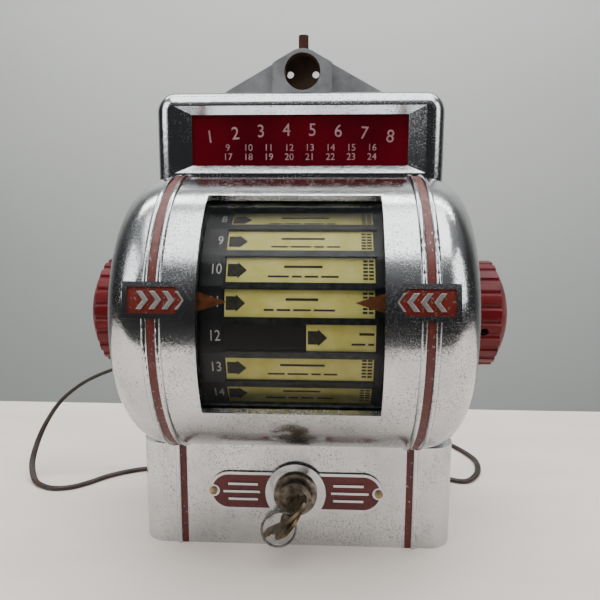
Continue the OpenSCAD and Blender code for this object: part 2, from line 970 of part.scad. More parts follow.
module rear_casting() {
    color("gray")
        difference() {
            union() {
                along_y(rear_y, wall_y) case_face(0);
                along_y(wing_y, wall_y) lug_wings();
                along_y(lug_y, wall_y) lug_face();
            }
            along_y(rear_y - 1, floor_y) case_face(shell);
            rod_y(0, cup_z, lug_y - 1, cup_floor_y, cup_r);
            for (s = [-1, 1])
                rod_y(s * cup_hole_x, cup_z + 0.7, cup_floor_y - 1, wall_y, cup_hole_r);
            rod_y(0, cup_z, cup_floor_y + cup_floor_t, wall_y + 1, cup_r);
            block([-coin_slot_w / 2, cup_floor_y - coin_slot_t, header_top - shell - 1],
                [coin_slot_w / 2, cup_floor_y, cup_z - cup_r / 2]);
            translate([0, plunger_y, header_top - shell - 1])
                cylinder(h = 2 * shell, r = stem_r + plunger_play);
            translate([0, plunger_y, plunger_seat_z])
                cylinder(h = cup_lift + lug_top_r + 2, r = plunger_r + plunger_play);
            for (x = [-1, 1], z = [screw_z, screw_z + screw_h])
                rod_y(x * screw_w / 2, z, floor_y - 1, wall_y + 1, screw_r);
            rod_y(cable_x, cable_z, floor_y - 1, wall_y + 1, cable_r);
            rod_y(cable_x, cable_z, wall_y - grommet_t, wall_y + 1, grommet_r + clear);
        }
}

// --- bearings ---------------------------------------------------------------------------
bracket_x = drum_x + 18;
bracket_t = 2;
bush_r = 8;
bracket_foot_h = 110;
bracket_foot_w = 14;
bracket_screw_z = 46;

// The right-hand bracket that carries the drum shaft forward of the rear casting
module bearing_bracket() {
    x1 = bracket_x + bracket_t;
    half = bracket_foot_h / 2;
    nose = 17;
    color("darkgray")
        difference() {
            union() {
                along_x(bracket_x, x1) {
                    translate([axis_y, axis_z]) circle(nose);
                    polygon([[axis_y, axis_z - nose], [floor_y - 26, axis_z - half + 14],
                        [floor_y, axis_z - half], [floor_y, axis_z + half],
                        [floor_y - 26, axis_z + half - 14], [axis_y, axis_z + nose]]);
                }
                along_y(floor_y - bracket_t, floor_y)
                    area(x1 - bracket_foot_w, axis_z - half, x1, axis_z + half);
            }
            rod_x(bracket_x - 1, x1 + 1, bush_r);
            for (s = [-1, 1]) {
                rod_y(x1 - bracket_foot_w / 2 - 1, axis_z + s * bracket_screw_z,
                    floor_y - bracket_t - 1, floor_y + 1, 2.1);
                translate([bracket_x - 1, floor_y - 30, axis_z + s * 20])
                    rotate([0, 90, 0]) cylinder(h = bracket_t + 2, r = 12);
            }
        }
}

module shaft_bush() {
    color("peru")
        difference() {
            union() {
                rod_x(bracket_x - 1.5, bracket_x, bush_r + 2.5);
                rod_x(bracket_x, bracket_x + bracket_t + 4, bush_r);
            }
            rod_x(bracket_x - 3, bracket_x + bracket_t + 6, shaft_r + shaft_play);
        }
}

module bracket_screws() {
    x = bracket_x + bracket_t - bracket_foot_w / 2 - 1;
    color("goldenrod")
        both_sides()
            for (s = [-1, 1]) {
                z = axis_z + s * bracket_screw_z;
                rod_y(x, z, floor_y - bracket_t - 1.8, floor_y - bracket_t, 3.6);
                rod_y(x, z, floor_y - bracket_t, floor_y, 2);
            }
}

// --- contacts and detent ----------------------------------------------------------------
// A fixed disc on the left bracket that carries one brass stud for each title
module contact_disc() {
    color("saddlebrown")
        difference() {
            union() {
                rod_x(disc_x, disc_x + disc_t, stud_ring + 8);
                for (p = [[28, 20], [28, -20], [10, 12], [10, -12]])
                    translate([-bracket_x, axis_y + p[0], axis_z + p[1]])
                        rotate([0, 90, 0]) cylinder(h = disc_x + bracket_x, r = 3.5);
            }
            rod_x(disc_x - 1, disc_x + disc_t + 1, shaft_r + 6);
        }
}

module contact_studs() {
    color("gold")
        for (i = [0 : rows - 1])
            at_row(reading_a + (i + 0.5) * row_a)
                translate([disc_x + disc_t, 0, stud_ring])
                    rotate([0, 90, 0]) cylinder(h = stud_h, r = stud_r);
}

roller_r = 4;
roller_pin_r = 1.2;
fork_x0 = wheel_x - 3;
fork_x1 = wheel_x + wheel_t + 3;
roller_gap = 0.25;
roller_at = wheel_r + roller_gap + roller_r;

// A leaf spring from the right bracket whose fork carries the roller behind the wheel
module detent_spring() {
    y0 = axis_y + roller_at + roller_r + 0.6;
    color("silver") {
        block([fork_x0, y0, axis_z - 6], [fork_x1, y0 + 1, axis_z + 40]);
        block([fork_x1, y0, axis_z + 33], [bracket_x, y0 + 1, axis_z + 40]);
        for (x = [fork_x0, fork_x1 - 1])
            block([x, y0 - roller_r - 3.6, axis_z - 3], [x + 1, y0, axis_z + 3]);
        translate([fork_x0, axis_y + roller_at, axis_z])
            rotate([0, 90, 0]) cylinder(h = fork_x1 - fork_x0, r = roller_pin_r);
    }
}

module detent_roller() {
    color("goldenrod")
        translate([fork_x0 + 1.2, axis_y + roller_at, axis_z])
            rotate([0, 90, 0])
                difference() {
                    cylinder(h = fork_x1 - fork_x0 - 2.4, r = roller_r);
                    translate([0, 0, -1]) cylinder(h = wheel_t + 8, r = roller_pin_r + 0.05);
                }
}

// --- coin path --------------------------------------------------------------------------
runway_slope = 12;
runway_y = cup_floor_y - coin_slot_t / 2;
runway_half = 2.1;
runway_wall = 1.2;
runway_x0 = -coin_slot_w / 2 - 3;
runway_len = 82;
runway_z = header_top - shell - 22;
runway_h = 19;

// The sloping channel under the cup, which lets coins roll to the right on edge
module coin_runway() {
    color("silver") {
        translate([runway_x0, runway_y, runway_z])
            rotate([0, runway_slope, 0])
                for (p = [[-runway_half - runway_wall, runway_half + runway_wall, -1.5, 0],
                    [-runway_half - runway_wall, -runway_half, 0, runway_h],
                    [runway_half, runway_half + runway_wall, 0, runway_h]])
                    block([0, p[0], p[2]], [runway_len, p[1], p[3]]);
        for (x = [runway_x0 + 4, runway_x0 + runway_len * 0.6])
            rod_y(x, runway_z - (x - runway_x0) * tan(runway_slope) + 7,
                runway_y + runway_half + runway_wall, floor_y, 2.5);
    }
}

reject_x0 = bracket_x + bracket_t + 2.5;
reject_x1 = case_x - shell - 1.5;
reject_z0 = 92;
reject_z1 = 205;
chute_x0 = runway_x0 + runway_len * cos(runway_slope) + 1;
chute_x1 = header_x - shell - 1;
chute_z1 = runway_z - runway_len * sin(runway_slope) + 8;
chute_z0 = barrel_top - 14;
reject_y0 = runway_y - runway_half - runway_wall;
reject_y1 = runway_y + runway_half + runway_wall;

// The chute from the runway in (x, z), w drawn in from its walls
module chute_outline(w) {
    polygon([[chute_x0 + w, chute_z1 + w], [chute_x0 + w, chute_z0], [reject_x0 + w, reject_z1],
        [reject_x0 + w, reject_z0 - w], [reject_x1 - w, reject_z0 - w],
        [reject_x1 - w, reject_z1], [chute_x1 - w, chute_z0], [chute_x1 - w, chute_z1 + w]]);
}

// Two plates with the coin's way between them, and bars that throw slugs aside
module slug_rejector() {
    color("lightgray") {
        difference() {
            along_y(reject_y0, reject_y1) chute_outline(0);
            along_y(reject_y0 + runway_wall, reject_y1 - runway_wall) chute_outline(1);
            along_y(reject_y0 - 1, reject_y0 + runway_wall + 1)
                area(reject_x0 + 5, reject_z0 + 30, reject_x1 - 5, reject_z0 + 62);
        }
        for (z = [reject_z0 + 18, reject_z1 - 20])
            rod_y(reject_x1 - 6, z, reject_y1, floor_y, 2.5);
    }
}

module coin_switch() {
    color("black")
        block([reject_x0 + 3, reject_y0 - 14, reject_z0 + 8],
            [reject_x1 - 4, reject_y0, reject_z0 + 24]);
    color("silver")
        block([reject_x0 + 6, reject_y0 - 10, reject_z0 + 24],
            [reject_x0 + 7, reject_y0 - 4, reject_z0 + 44]);
}

box_t = 1.2;
box_z = shell + clear;
box_top = 56;
box_x0 = 26;
box_x1 = base_x - shell - 3;
box_y0 = base_y + shell + 9;
box_y1 = floor_y - 3;

// The tube's way from the rejector in through the neck of the case, drawn in by w
module tube_outline(w) {
    x0 = reject_x0 + w;
    x1 = reject_x1 - 2 - w;
    y1 = reject_z0 - clear + w;
    y0 = box_top + 3 - w;
    side = rib_x - 0.5;
    polygon([[x0, y1], [x1, y1], [x1, y1 - 8 - w], [side - w, barrel_lift + shell + 0.8 + w],
        [side - w, y0], [side - 24 + w, y0], [side - 24 + w, base_h + 4]]);
}

// The tube that drops accepted coins into the cash box
module coin_tube() {
    color("silver")
        difference() {
            along_y(reject_y0, reject_y1) tube_outline(0);
            along_y(reject_y0 + 1, reject_y1 - 1) tube_outline(1);
        }
}

module cash_box() {
    color("slategray")
        difference() {
            block([box_x0, box_y0, box_z], [box_x1, box_y1, box_top]);
            block([box_x0 + box_t, box_y0 + box_t, box_z + box_t],
                [box_x1 - box_t, box_y1 - box_t, box_top + 1]);
        }
}

// --- wiring -----------------------------------------------------------------------------
terminal_z = 50;
terminal_x0 = -94;
terminals = 8;
terminal_step = 6.4;

module terminal_strip() {
    color("saddlebrown") {
        block([terminal_x0, floor_y - 8, terminal_z - 8],
            [terminal_x0 + terminals * terminal_step + 3, floor_y, terminal_z + 8]);
        for (i = [0 : terminals])
            translate([terminal_x0 + i * terminal_step, floor_y - 11, terminal_z - 8])
                cube([1.6, 3, 16]);
    }
}

module terminal_screws() {
    color("gold")
        for (i = [0 : terminals - 1], z = [-4, 4])
            rod_y(terminal_x0 + 0.8 + (i + 0.5) * terminal_step, terminal_z + z,
                floor_y - 10, floor_y - 8, 1.9);
}

// A coil in an iron frame that steps the selection
module selector_relay() {
    x0 = -88;
    y = floor_y - 32;
    z0 = shell;
    color("firebrick")
        translate([x0 + 3, y, z0 + 18])
            rotate([0, 90, 0]) cylinder(h = 34, r = 13);
    color("silver") {
        block([x0, y - 14, z0], [x0 + 3, y + 14, z0 + 34]);
        block([x0 + 37, y - 14, z0], [x0 + 40, y + 14, z0 + 34]);
        block([x0 + 3, y - 14, z0], [x0 + 37, y + 14, z0 + 3]);
    }
}

lamp_x = 36;
lamp_z = sign_z + sign_h / 2;
lamp_board_y = sign_back_y + 26;
lamp_arm_z = header_top - shell - 9;

module lamp_board() {
    color("darkgray") {
        block([-52, lamp_board_y, lamp_z - 14], [52, lamp_board_y + 1.5, lamp_arm_z + 1.5]);
        for (x = [-46, 40])
            block([x, lamp_board_y + 1.5, lamp_arm_z], [x + 6, floor_y, lamp_arm_z + 1.5]);
    }
}

module sign_lamps() {
    for (x = [-lamp_x, lamp_x]) {
        color("goldenrod")
            rod_y(x, lamp_z, lamp_board_y - 8, lamp_board_y, 5.5);
        color("ivory")
            translate([x, lamp_board_y - 8, lamp_z]) sphere(5);
    }
}

// --- catch for the lock, and the coin return plunger ------------------------------------
keeper_y = lock_back_y - 2 - 0.6;
keeper_top = lock_z - 13;

// A plate that stands up from the floor in front of the cam when that is down
module keeper_bracket() {
    z0 = shell + clear;
    color("darkgray") {
        block([-9, keeper_y - 1, z0], [9, keeper_y + 1, keeper_top]);
        block([-9, keeper_y + 1, z0], [9, rear_y + 20, z0 + 2]);
        block([-9, rear_y + 4, shell], [9, rear_y + 20, z0]);
    }
}

collar_r = 4;
collar_t = 2;
collar_top = header_top - shell - clear;
guide_t = 2;
guide_z = collar_top - 26;
plunger_low = guide_z - 8;

module reject_plunger() {
    color("saddlebrown")
        translate([0, plunger_y, 0]) {
            translate([0, 0, plunger_low])
                cylinder(h = plunger_seat_z + plunger_travel - plunger_low + 1, r = stem_r);
            translate([0, 0, plunger_seat_z + plunger_travel + clear])
                cylinder(h = plunger_top - plunger_travel - 1 - clear, r = plunger_r);
            translate([0, 0, collar_top - collar_t])
                cylinder(h = collar_t, r = collar_r);
        }
}

module plunger_guide() {
    color("goldenrod")
        difference() {
            block([-6, plunger_y - stem_r - 1.4, guide_z - guide_t], [6, floor_y, guide_z]);
            translate([0, plunger_y, guide_z - guide_t - 1])
                cylinder(h = guide_t + 2, r = stem_r + plunger_play);
        }
}

// --- tubes that follow a line of points ---------------------------------------------------
function unit(v) = v / norm(v);

// The direction of a line of points at each point
function tangents(p) = [for (i = [0 : len(p) - 1])
    unit(p[min(i + 1, len(p) - 1)] - p[max(i - 1, 0)])];

// A side direction square to each tangent, carried along without twist
function sides(t, i = 0, last = [0, 0, 1], out = []) =
    i == len(t) ? out :
    let (s = unit(last - (last * t[i]) * t[i])) sides(t, i + 1, s, concat(out, [s]));

// A round tube of radius r and n sides along the points p, whose ends are square to a and b
module tube(p, r, n, a = undef, b = undef, side = [0, 0, 1]) {
    t0 = tangents(p);
    m = len(p);
    t = [for (i = [0 : m - 1]) i == 0 && a != undef ? a : i == m - 1 && b != undef ? b : t0[i]];
    s = sides(t, 0, side);
    points = [for (i = [0 : m - 1], k = [0 : n - 1])
        let (w = (k + 0.5) * 360 / n) p[i] + r * (cos(w) * s[i] + sin(w) * cross(t[i], s[i]))];
    skin = [for (i = [0 : m - 2], k = [0 : n - 1], h = [0, 1])
        let (k1 = (k + 1) % n)
        h == 0 ? [i * n + k, i * n + k1, (i + 1) * n + k] : [i * n + k1, (i + 1) * n + k1, (i + 1) * n + k]];
    caps = concat([for (k = [1 : n - 2]) [0, k + 1, k]],
        [for (k = [1 : n - 2]) [(m - 1) * n, (m - 1) * n + k, (m - 1) * n + k + 1]]);
    polyhedron(points = points, faces = [for (f = concat(skin, caps)) [f[2], f[1], f[0]]]);
}

// A point on the smooth curve through the points q, at u from q[i] to q[i + 1]
function curve_point(q, i, u) =
    let (n = len(q) - 1, a = q[max(i - 1, 0)], b = q[i], c = q[i + 1], d = q[min(i + 2, n)])
    0.5 * (2 * b + (c - a) * u + (2 * a - 5 * b + 4 * c - d) * u * u
        + (3 * b - a - 3 * c + d) * u * u * u);

// The curve through the points q with k steps between each two
function curve(q, k) = concat(
    [for (i = [0 : len(q) - 2], j = [0 : k - 1]) curve_point(q, i, j / k)], [q[len(q) - 1]]);

function path_length(p, i = 0) = i >= len(p) - 1 ? 0 : norm(p[i + 1] - p[i]) + path_length(p, i + 1);

// --- the plunger's return spring ----------------------------------------------------------
spring_wire_r = 0.45;
spring_r = stem_r + 1;
spring_coils = 7;
spring_steps = 8;
spring_z0 = guide_z + spring_wire_r + clear / 2;
spring_z1 = collar_top - collar_t - spring_wire_r - clear / 2;

module plunger_spring() {
    turns = spring_coils * spring_steps;
    color("silver")
        tube([for (i = [0 : turns])
            let (a = i * 360 / spring_steps, z = spring_z0 + (spring_z1 - spring_z0) * i / turns)
            [spring_r * cos(a), plunger_y + spring_r * sin(a), z]], spring_wire_r, 6);
}

// --- the cord ------------------------------------------------------------------------------
// A flat two-core cord, 5.3 wide, about 1.8 m long from the grommet to the plug
cord_r = 2.65;
grommet_t = 1.5;
grommet_r = 8;

// Its outer flange lies in a seat, flush with the flat back that goes against the wall
module cable_grommet() {
    color("black")
        difference() {
            union() {
                rod_y(cable_x, cable_z, floor_y - 1.6, floor_y, cable_r + 2);
                rod_y(cable_x, cable_z, floor_y, wall_y - grommet_t, cable_r);
                rod_y(cable_x, cable_z, wall_y - grommet_t, wall_y, grommet_r);
            }
            rod_y(cable_x, cable_z, floor_y - 3, wall_y + 1, cord_r + 0.35);
        }
}

// The cord's way: out of the grommet, down to the left, round on the table, back behind
// the base, out in a loop on the right and in again to the coil
cord_route = [[-60, 85, 90], [-60, 98, 90], [-68, 107, 90.5], [-84, 112, 91.5],
    [-104, 113, 92], [-126, 113, 91], [-150, 112, 88], [-171, 110, 82], [-193, 107, 72],
    [-211, 101, 58], [-221, 92, 42], [-226, 82, 26], [-226, 71, 12], [-219, 60, 4],
    [-209, 52, 2.7], [-197, 48, 2.7], [-184, 51, 2.7], [-173, 60, 2.7], [-160, 74, 2.7],
    [-140, 86, 2.7], [-114, 92, 2.7], [-80, 94, 2.7], [-40, 94.5, 2.7], [0, 94.5, 2.7],
    [40, 94, 2.7], [76, 94, 2.7], [98, 94, 2.7], [114, 88, 2.7], [124.5, 80, 2.7],
    [136, 78.5, 2.7], [146.5, 91, 2.7], [151.5, 106, 2.7], [152.6, 121, 2.7], [148, 137, 2.7],
    [139, 154, 2.7], [126, 171, 2.7], [109, 184, 2.7], [88, 192, 2.7], [64, 196, 2.7],
    [40, 196, 2.7]];
cord_step = 2;

module power_cord() {
    p = curve(cord_route, cord_step);
    echo(cord_length = path_length(p), rings = len(p));
    color("saddlebrown")
        tube([for (q = p) [q[0], q[1], max(q[2], cord_r)]], cord_r, 8, [0, 1, 0], [-1, 0, 0]);
}

// The rest lies in a flat coil of two layers: in from outside, up and out again on top
coil_pitch = 5.9;
turns_in = 2;
turns_out = 1.5;
coil_r = 45;
coil_lift = 5.8;
coil_steps = 24;
route_end = cord_route[len(cord_route) - 1];
coil_x = route_end[0] - 2 * cord_r;
coil_y = route_end[1] - coil_r;
coil_turns = turns_in + 0.5 + turns_out;
// The spiral reverses here, in the middle of the half turn that climbs
coil_back = turns_in + 0.25;

// The radius and height of the coil's middle line after w turns
function coil_radius(w) = coil_r - coil_pitch * (coil_back - abs(w - coil_back));
function coil_rise(w) = route_end[2] + coil_lift * min(max((w - turns_in) * 2, 0), 1);
function coil_point(w) = [coil_x + coil_radius(w) * cos(90 + 360 * w),
    coil_y + coil_radius(w) * sin(90 + 360 * w), coil_rise(w)];
coil_path = [for (i = [0 : coil_steps * coil_turns]) coil_point(i / coil_steps)];
coil_last = coil_path[len(coil_path) - 1];
// The short way from the coil out to the plug
tail = curve([coil_last, coil_last + [-11, 2, 0], coil_last + [-20, 8, 0],
    coil_last + [-26, 17, 0]], 3);
tail_end = tail[len(tail) - 1];
tail_a = 124;

module cord_coil() {
    out = [cos(tail_a), sin(tail_a), 0];
    p = concat([coil_path[0] + [2 * cord_r, 0, 0]], coil_path,
        [for (i = [1 : len(tail) - 1]) tail[i]], [tail_end + 2 * cord_r * out]);
    gap = min([for (i = [0 : len(coil_path) - 1], j = [i + 12 : 1 : len(coil_path) - 1])
        norm(coil_path[i] - coil_path[j])]) - 2 * cord_r;
    echo(coil_length = path_length(p), coil_gap = gap);
    color("saddlebrown")
        tube(p, cord_r, 6, [-1, 0, 0], out);
}

// A two-pin plug on the end of the cord
cord_plug_r = 12;
cord_plug_len = 26;
cord_plug_neck = 9;

// Children, drawn with the cord's end at the origin and its way along +X
module on_tail() {
    translate(tail_end)
        rotate([0, 0, tail_a])
            translate([2 * cord_r, 0, 0]) children();
}

module cord_plug() {
    low = -tail_end[2];
    on_tail() {
        color("saddlebrown") {
            rotate([0, 90, 0]) cylinder(h = cord_plug_neck, r = 4.6);
            intersection() {
                translate([cord_plug_neck, 0, 0])
                    rotate([0, 90, 0]) cylinder(h = cord_plug_len - cord_plug_neck, r = cord_plug_r);
                block([0, -cord_plug_r, low], [cord_plug_len, cord_plug_r, -low]);
            }
        }
        color("goldenrod")
            for (s = [-1, 1])
                translate([cord_plug_len, s * 6.35 - 0.8, -3.2])
                    cube([16, 1.6, 6.4]);
    }
}

// --- left-hand pieces mirror the right-hand ones ------------------------------------------
module on_left() {
    mirror([1, 0, 0]) children();
}

rear_casting();
on_left() bearing_bracket();  // bearing_bracket_left
bearing_bracket();  // bearing_bracket_right
on_left() shaft_bush();  // shaft_bush_left
shaft_bush();  // shaft_bush_right
coin_runway();
slug_rejector();
coin_switch();
coin_tube();
cash_box();
contact_disc();
contact_studs();
detent_spring();
detent_roller();
terminal_strip();
terminal_screws();
selector_relay();
lamp_board();
sign_lamps();
keeper_bracket();
plunger_guide();
plunger_spring();
cable_grommet();
bracket_screws();
reject_plunger();
drum_shaft();
drum_shell();
on_left() drum_end();  // drum_end_left
drum_end();  // drum_end_right
number_band();
strip_rails();
title_strips();
detent_wheel();
wiper_arm();
on_left() knob();  // knob_left
knob();  // knob_right
knob_screws();
front_cover();
on_left() stripe_enamel();  // stripe_enamel_left
stripe_enamel();  // stripe_enamel_right
on_left() badge_enamel();  // badge_enamel_left
badge_enamel();  // badge_enamel_right
sign_glass();
sign_retainer();
window_pane();
window_retainer();
on_left() pointer();  // pointer_left
pointer();  // pointer_right
nameplate();
nameplate_enamel();
nameplate_screws();
lock_body();
lock_nut();
lock_plug();
door_key();
key_ring();
spare_key();
power_cord();
cord_coil();
cord_plug();
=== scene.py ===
# %% [markdown]
# # A chrome selector box with a turning title drum
# The part arrives from the CAD model at its real size, in metres, with +Z up. This
# script dresses it: it sets the camera and the room, lays the cord, gives each piece the
# finish of the real one, and adds the print, numerals and small raised marks.

# %% Load the frame and note its box
import math

import bpy
from mathutils import Matrix, Vector


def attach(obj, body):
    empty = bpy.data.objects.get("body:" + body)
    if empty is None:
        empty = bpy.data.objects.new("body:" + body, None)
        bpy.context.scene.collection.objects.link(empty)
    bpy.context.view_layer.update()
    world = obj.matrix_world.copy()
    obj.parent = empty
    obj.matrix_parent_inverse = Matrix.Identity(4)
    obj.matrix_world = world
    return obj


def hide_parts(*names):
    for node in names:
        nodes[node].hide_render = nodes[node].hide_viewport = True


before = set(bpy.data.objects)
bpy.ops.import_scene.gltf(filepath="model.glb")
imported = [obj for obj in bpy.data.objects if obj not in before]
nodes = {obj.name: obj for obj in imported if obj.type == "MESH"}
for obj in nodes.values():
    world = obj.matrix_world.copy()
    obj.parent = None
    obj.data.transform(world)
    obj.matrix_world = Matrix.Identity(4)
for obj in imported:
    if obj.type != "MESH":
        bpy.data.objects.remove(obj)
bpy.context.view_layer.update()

# %% [markdown]
# ## Camera
# The camera was found from measured corners in the photograph: where it stood, how it
# was turned and how wide it saw. A lens in millimetres on a 36 mm sensor gives the same
# view for a square picture. The three turns are put together as one matrix, because that
# is how they were measured.

# %% Place the camera
CAMERA_PLACE = Vector((0.01979, -0.38767, 0.21955))
YAW, PITCH, ROLL = (math.radians(a) for a in (2.704, 8.356, 0.158))
LENS_MM = 35.454

look = Vector((-math.sin(YAW) * math.cos(PITCH), math.cos(YAW) * math.cos(PITCH), -math.sin(PITCH)))
side = Vector((math.cos(YAW), math.sin(YAW), 0))
rise = side.cross(look)
right = math.cos(ROLL) * side + math.sin(ROLL) * rise
up = math.cos(ROLL) * rise - math.sin(ROLL) * side
bpy.ops.object.camera_add()
camera = bpy.context.object
camera.name = "photo_camera"
turned = Matrix((right, up, -look)).transposed().to_4x4()
camera.matrix_world = Matrix.Translation(CAMERA_PLACE) @ turned
camera.data.lens = LENS_MM
camera.data.sensor_width = 36
camera.data.clip_start = 0.01
bpy.context.scene.camera = camera
print("camera at", tuple(round(v, 3) for v in CAMERA_PLACE))

# %% [markdown]
# ## The room
# The box stands on a pale table top that ends a little way behind it, with a pale wall
# further back. Chrome shows whatever surrounds it, so the light is made of a few large
# soft panels, and the sky has a darker band at eye level, as a room has.

# %% Helpers for colours and shader nodes
def linear(code, alpha=1.0):
    """An sRGB hex code as the linear colour that shaders use."""
    parts = [int(code[i : i + 2], 16) / 255 for i in (1, 3, 5)]
    return tuple(c / 12.92 if c <= 0.04045 else ((c + 0.055) / 1.055) ** 2.4 for c in parts) + (alpha,)


def add_node(tree, kind, settings=None, links=None):
    """Adds a shader node, sets its fields or sockets, and links sources to its sockets."""
    made = tree.nodes.new(kind)
    for key, value in (settings or {}).items():
        if isinstance(key, int) or key in made.inputs:
            made.inputs[key].default_value = value
        else:
            setattr(made, key, value)
    for socket, source in (links or {}).items():
        tree.links.new(source, made.inputs[socket])
    return made


def new_material(name):
    """A material with an empty tree but for its output and one Principled shader."""
    material = bpy.data.materials.new(name)
    material.use_nodes = True
    material.node_tree.nodes.clear()
    tree = material.node_tree
    shader = add_node(tree, "ShaderNodeBsdfPrincipled")
    add_node(tree, "ShaderNodeOutputMaterial", links={"Surface": shader.outputs[0]})
    return material, tree, shader


def ramp(tree, source, stops):
    """A colour ramp through (place, colour) stops, driven by a source."""
    made = add_node(tree, "ShaderNodeValToRGB", links={"Fac": source})
    for i, (place, colour) in enumerate(stops):
        stop = made.color_ramp.elements[i] if i < 2 else made.color_ramp.elements.new(place)
        stop.position, stop.color = place, colour
    return made.outputs["Color"]


# %% Table top and wall
def plain_surface(name, colour, roughness, grain_mm):
    """A matt surface with a faint mottle."""
    material, tree, shader = new_material(name)
    place = add_node(tree, "ShaderNodeTexCoord").outputs["Object"]
    mottle = add_node(
        tree, "ShaderNodeTexNoise", {"Scale": 1000 / grain_mm, "Detail": 5.0}, {"Vector": place}
    )
    darker = tuple(c * 0.93 for c in linear(colour)[:3]) + (1,)
    shade = ramp(tree, mottle.outputs["Fac"], [(0.35, darker), (0.65, linear(colour))])
    tree.links.new(shade, shader.inputs["Base Color"])
    shader.inputs["Roughness"].default_value = roughness
    return material


bpy.ops.mesh.primitive_plane_add(size=1, location=(0, -0.1125, 0))
table_top = bpy.context.object
table_top.name = "table_top"
table_top.scale = (3.2, 0.755, 1)
table_top.data.materials.append(plain_surface("pale_table_laminate", "#f3e9e0", 0.55, 60))
bpy.ops.mesh.primitive_plane_add(size=1, location=(0, 1.5, 0.4), rotation=(math.pi / 2, 0, 0))
wall = bpy.context.object
wall.name = "wall"
wall.scale = (8, 5, 1)
wall.data.materials.append(plain_surface("pale_wall_paint", "#c9cdc9", 0.9, 200))


# %% Light panels and sky
def light_panel(name, place, aim, width, height, power):
    """A soft rectangular light at place, facing aim."""
    bpy.ops.object.light_add(type="AREA", location=place)
    lamp = bpy.context.object
    lamp.name = name
    lamp.data.shape = "RECTANGLE"
    lamp.data.size, lamp.data.size_y, lamp.data.energy = width, height, power
    lamp.rotation_euler = (Vector(aim) - Vector(place)).to_track_quat("-Z", "Y").to_euler()


light_panel("ceiling_panel", (0.1, -0.35, 1.5), (0, 0.1, 0.1), 1.6, 1.2, 22)
light_panel("left_panel", (-1.4, -0.9, 1.0), (0, 0, 0.15), 1.0, 1.2, 11)
light_panel("right_panel", (1.5, -0.7, 0.9), (0, 0, 0.15), 0.8, 1.0, 8)
light_panel("wall_wash", (0, 0.55, 1.6), (0, 1.5, 0.3), 2.4, 0.5, 29)
sky = bpy.data.worlds.new("room_light")
bpy.context.scene.world = sky
sky.use_nodes = True
sky_tree = sky.node_tree
sky_tree.nodes.clear()
direction = add_node(sky_tree, "ShaderNodeTexCoord").outputs["Generated"]
height = add_node(sky_tree, "ShaderNodeSeparateXYZ", links={"Vector": direction}).outputs["Z"]
lifted = add_node(sky_tree, "ShaderNodeMath", {"operation": "MULTIPLY_ADD", 1: 0.5, 2: 0.5}, {0: height})
tone = ramp(
    sky_tree,
    lifted.outputs[0],
    [
        (0.0, linear("#5a5957")), (0.4, linear("#4a4948")), (0.5, linear("#2e2e30")),
        (0.7, linear("#3c3d3f")), (0.82, linear("#7d7f81")), (0.93, linear("#babcbd")),
        (1.0, linear("#ccced0")),
    ],
)
glow = add_node(sky_tree, "ShaderNodeBackground", {"Strength": 0.9}, {"Color": tone})
add_node(sky_tree, "ShaderNodeOutputWorld", links={"Surface": glow.outputs[0]})

# %% [markdown]
# ## The cord
# A flat brown two-core cord leaves a rubber grommet in the back, drops to the table on
# the left, passes behind the base, shows one loop on the right and ends in a coil behind
# the box. Its line is the CAD model's, point by point. A flat cord is two round cores
# side by side, so its outline is a figure of eight, swept along that line as rings of
# points joined by faces.

# %% The cord's line
ROUTE_MM = [
    (-60, 85, 90), (-60, 98, 90), (-68, 107, 90.5), (-84, 112, 91.5), (-104, 113, 92),
    (-126, 113, 91), (-150, 112, 88), (-171, 110, 82), (-193, 107, 72), (-211, 101, 58),
    (-221, 92, 42), (-226, 82, 26), (-226, 71, 12), (-219, 60, 4), (-209, 52, 2.7),
    (-197, 48, 2.7), (-184, 51, 2.7), (-173, 60, 2.7), (-160, 74, 2.7), (-140, 86, 2.7),
    (-114, 92, 2.7), (-80, 94, 2.7), (-40, 94.5, 2.7), (0, 94.5, 2.7), (40, 94, 2.7),
    (76, 94, 2.7), (98, 94, 2.7), (114, 88, 2.7), (124.5, 80, 2.7), (136, 78.5, 2.7),
    (146.5, 91, 2.7), (151.5, 106, 2.7), (152.6, 121, 2.7), (148, 137, 2.7), (139, 154, 2.7),
    (126, 171, 2.7), (109, 184, 2.7), (88, 192, 2.7), (64, 196, 2.7), (40, 196, 2.7),
]
CORD_WIDTH = 0.0053
COIL_PITCH, COIL_RADIUS, COIL_LIFT, TURNS_IN, TURNS_OUT = 5.9, 45, 3.1, 2, 1.5
COIL_STEPS = 24
LYING_Z, REST_SPAN, TABLE_REST = 2.7, 8, 1.1
PLUG_HEIGHT, PLUG_TURN = 8.5, 124


def smooth_line(points, steps):
    """The Catmull-Rom curve through points, with a number of steps between each two."""
    line = []
    for i in range(len(points) - 1):
        a, b = points[max(i - 1, 0)], points[i]
        c, d = points[i + 1], points[min(i + 2, len(points) - 1)]
        for j in range(steps):
            u = j / steps
            second, third = 2 * a - 5 * b + 4 * c - d, 3 * b - a - 3 * c + d
            line.append(0.5 * (2 * b + (c - a) * u + second * u**2 + third * u**3))
    return line + [points[-1]]


def coil_line(start):
    """Two layers of turns that begin at start: in from outside, up, and out again on top."""
    middle_x, middle_y = start.x - CORD_WIDTH * 1000, start.y - COIL_RADIUS
    turns, back = TURNS_IN + 0.5 + TURNS_OUT, TURNS_IN + 0.25
    line = []
    for i in range(int(turns * COIL_STEPS) + 1):
        w = i / COIL_STEPS
        radius = COIL_RADIUS - COIL_PITCH * (back - abs(w - back))
        climb = COIL_LIFT * min(max((w - TURNS_IN) * 2, 0), 1)
        angle = math.radians(90 + 360 * w)
        x, y = middle_x + radius * math.cos(angle), middle_y + radius * math.sin(angle)
        line.append(Vector((x, y, start.z + climb)))
    return line


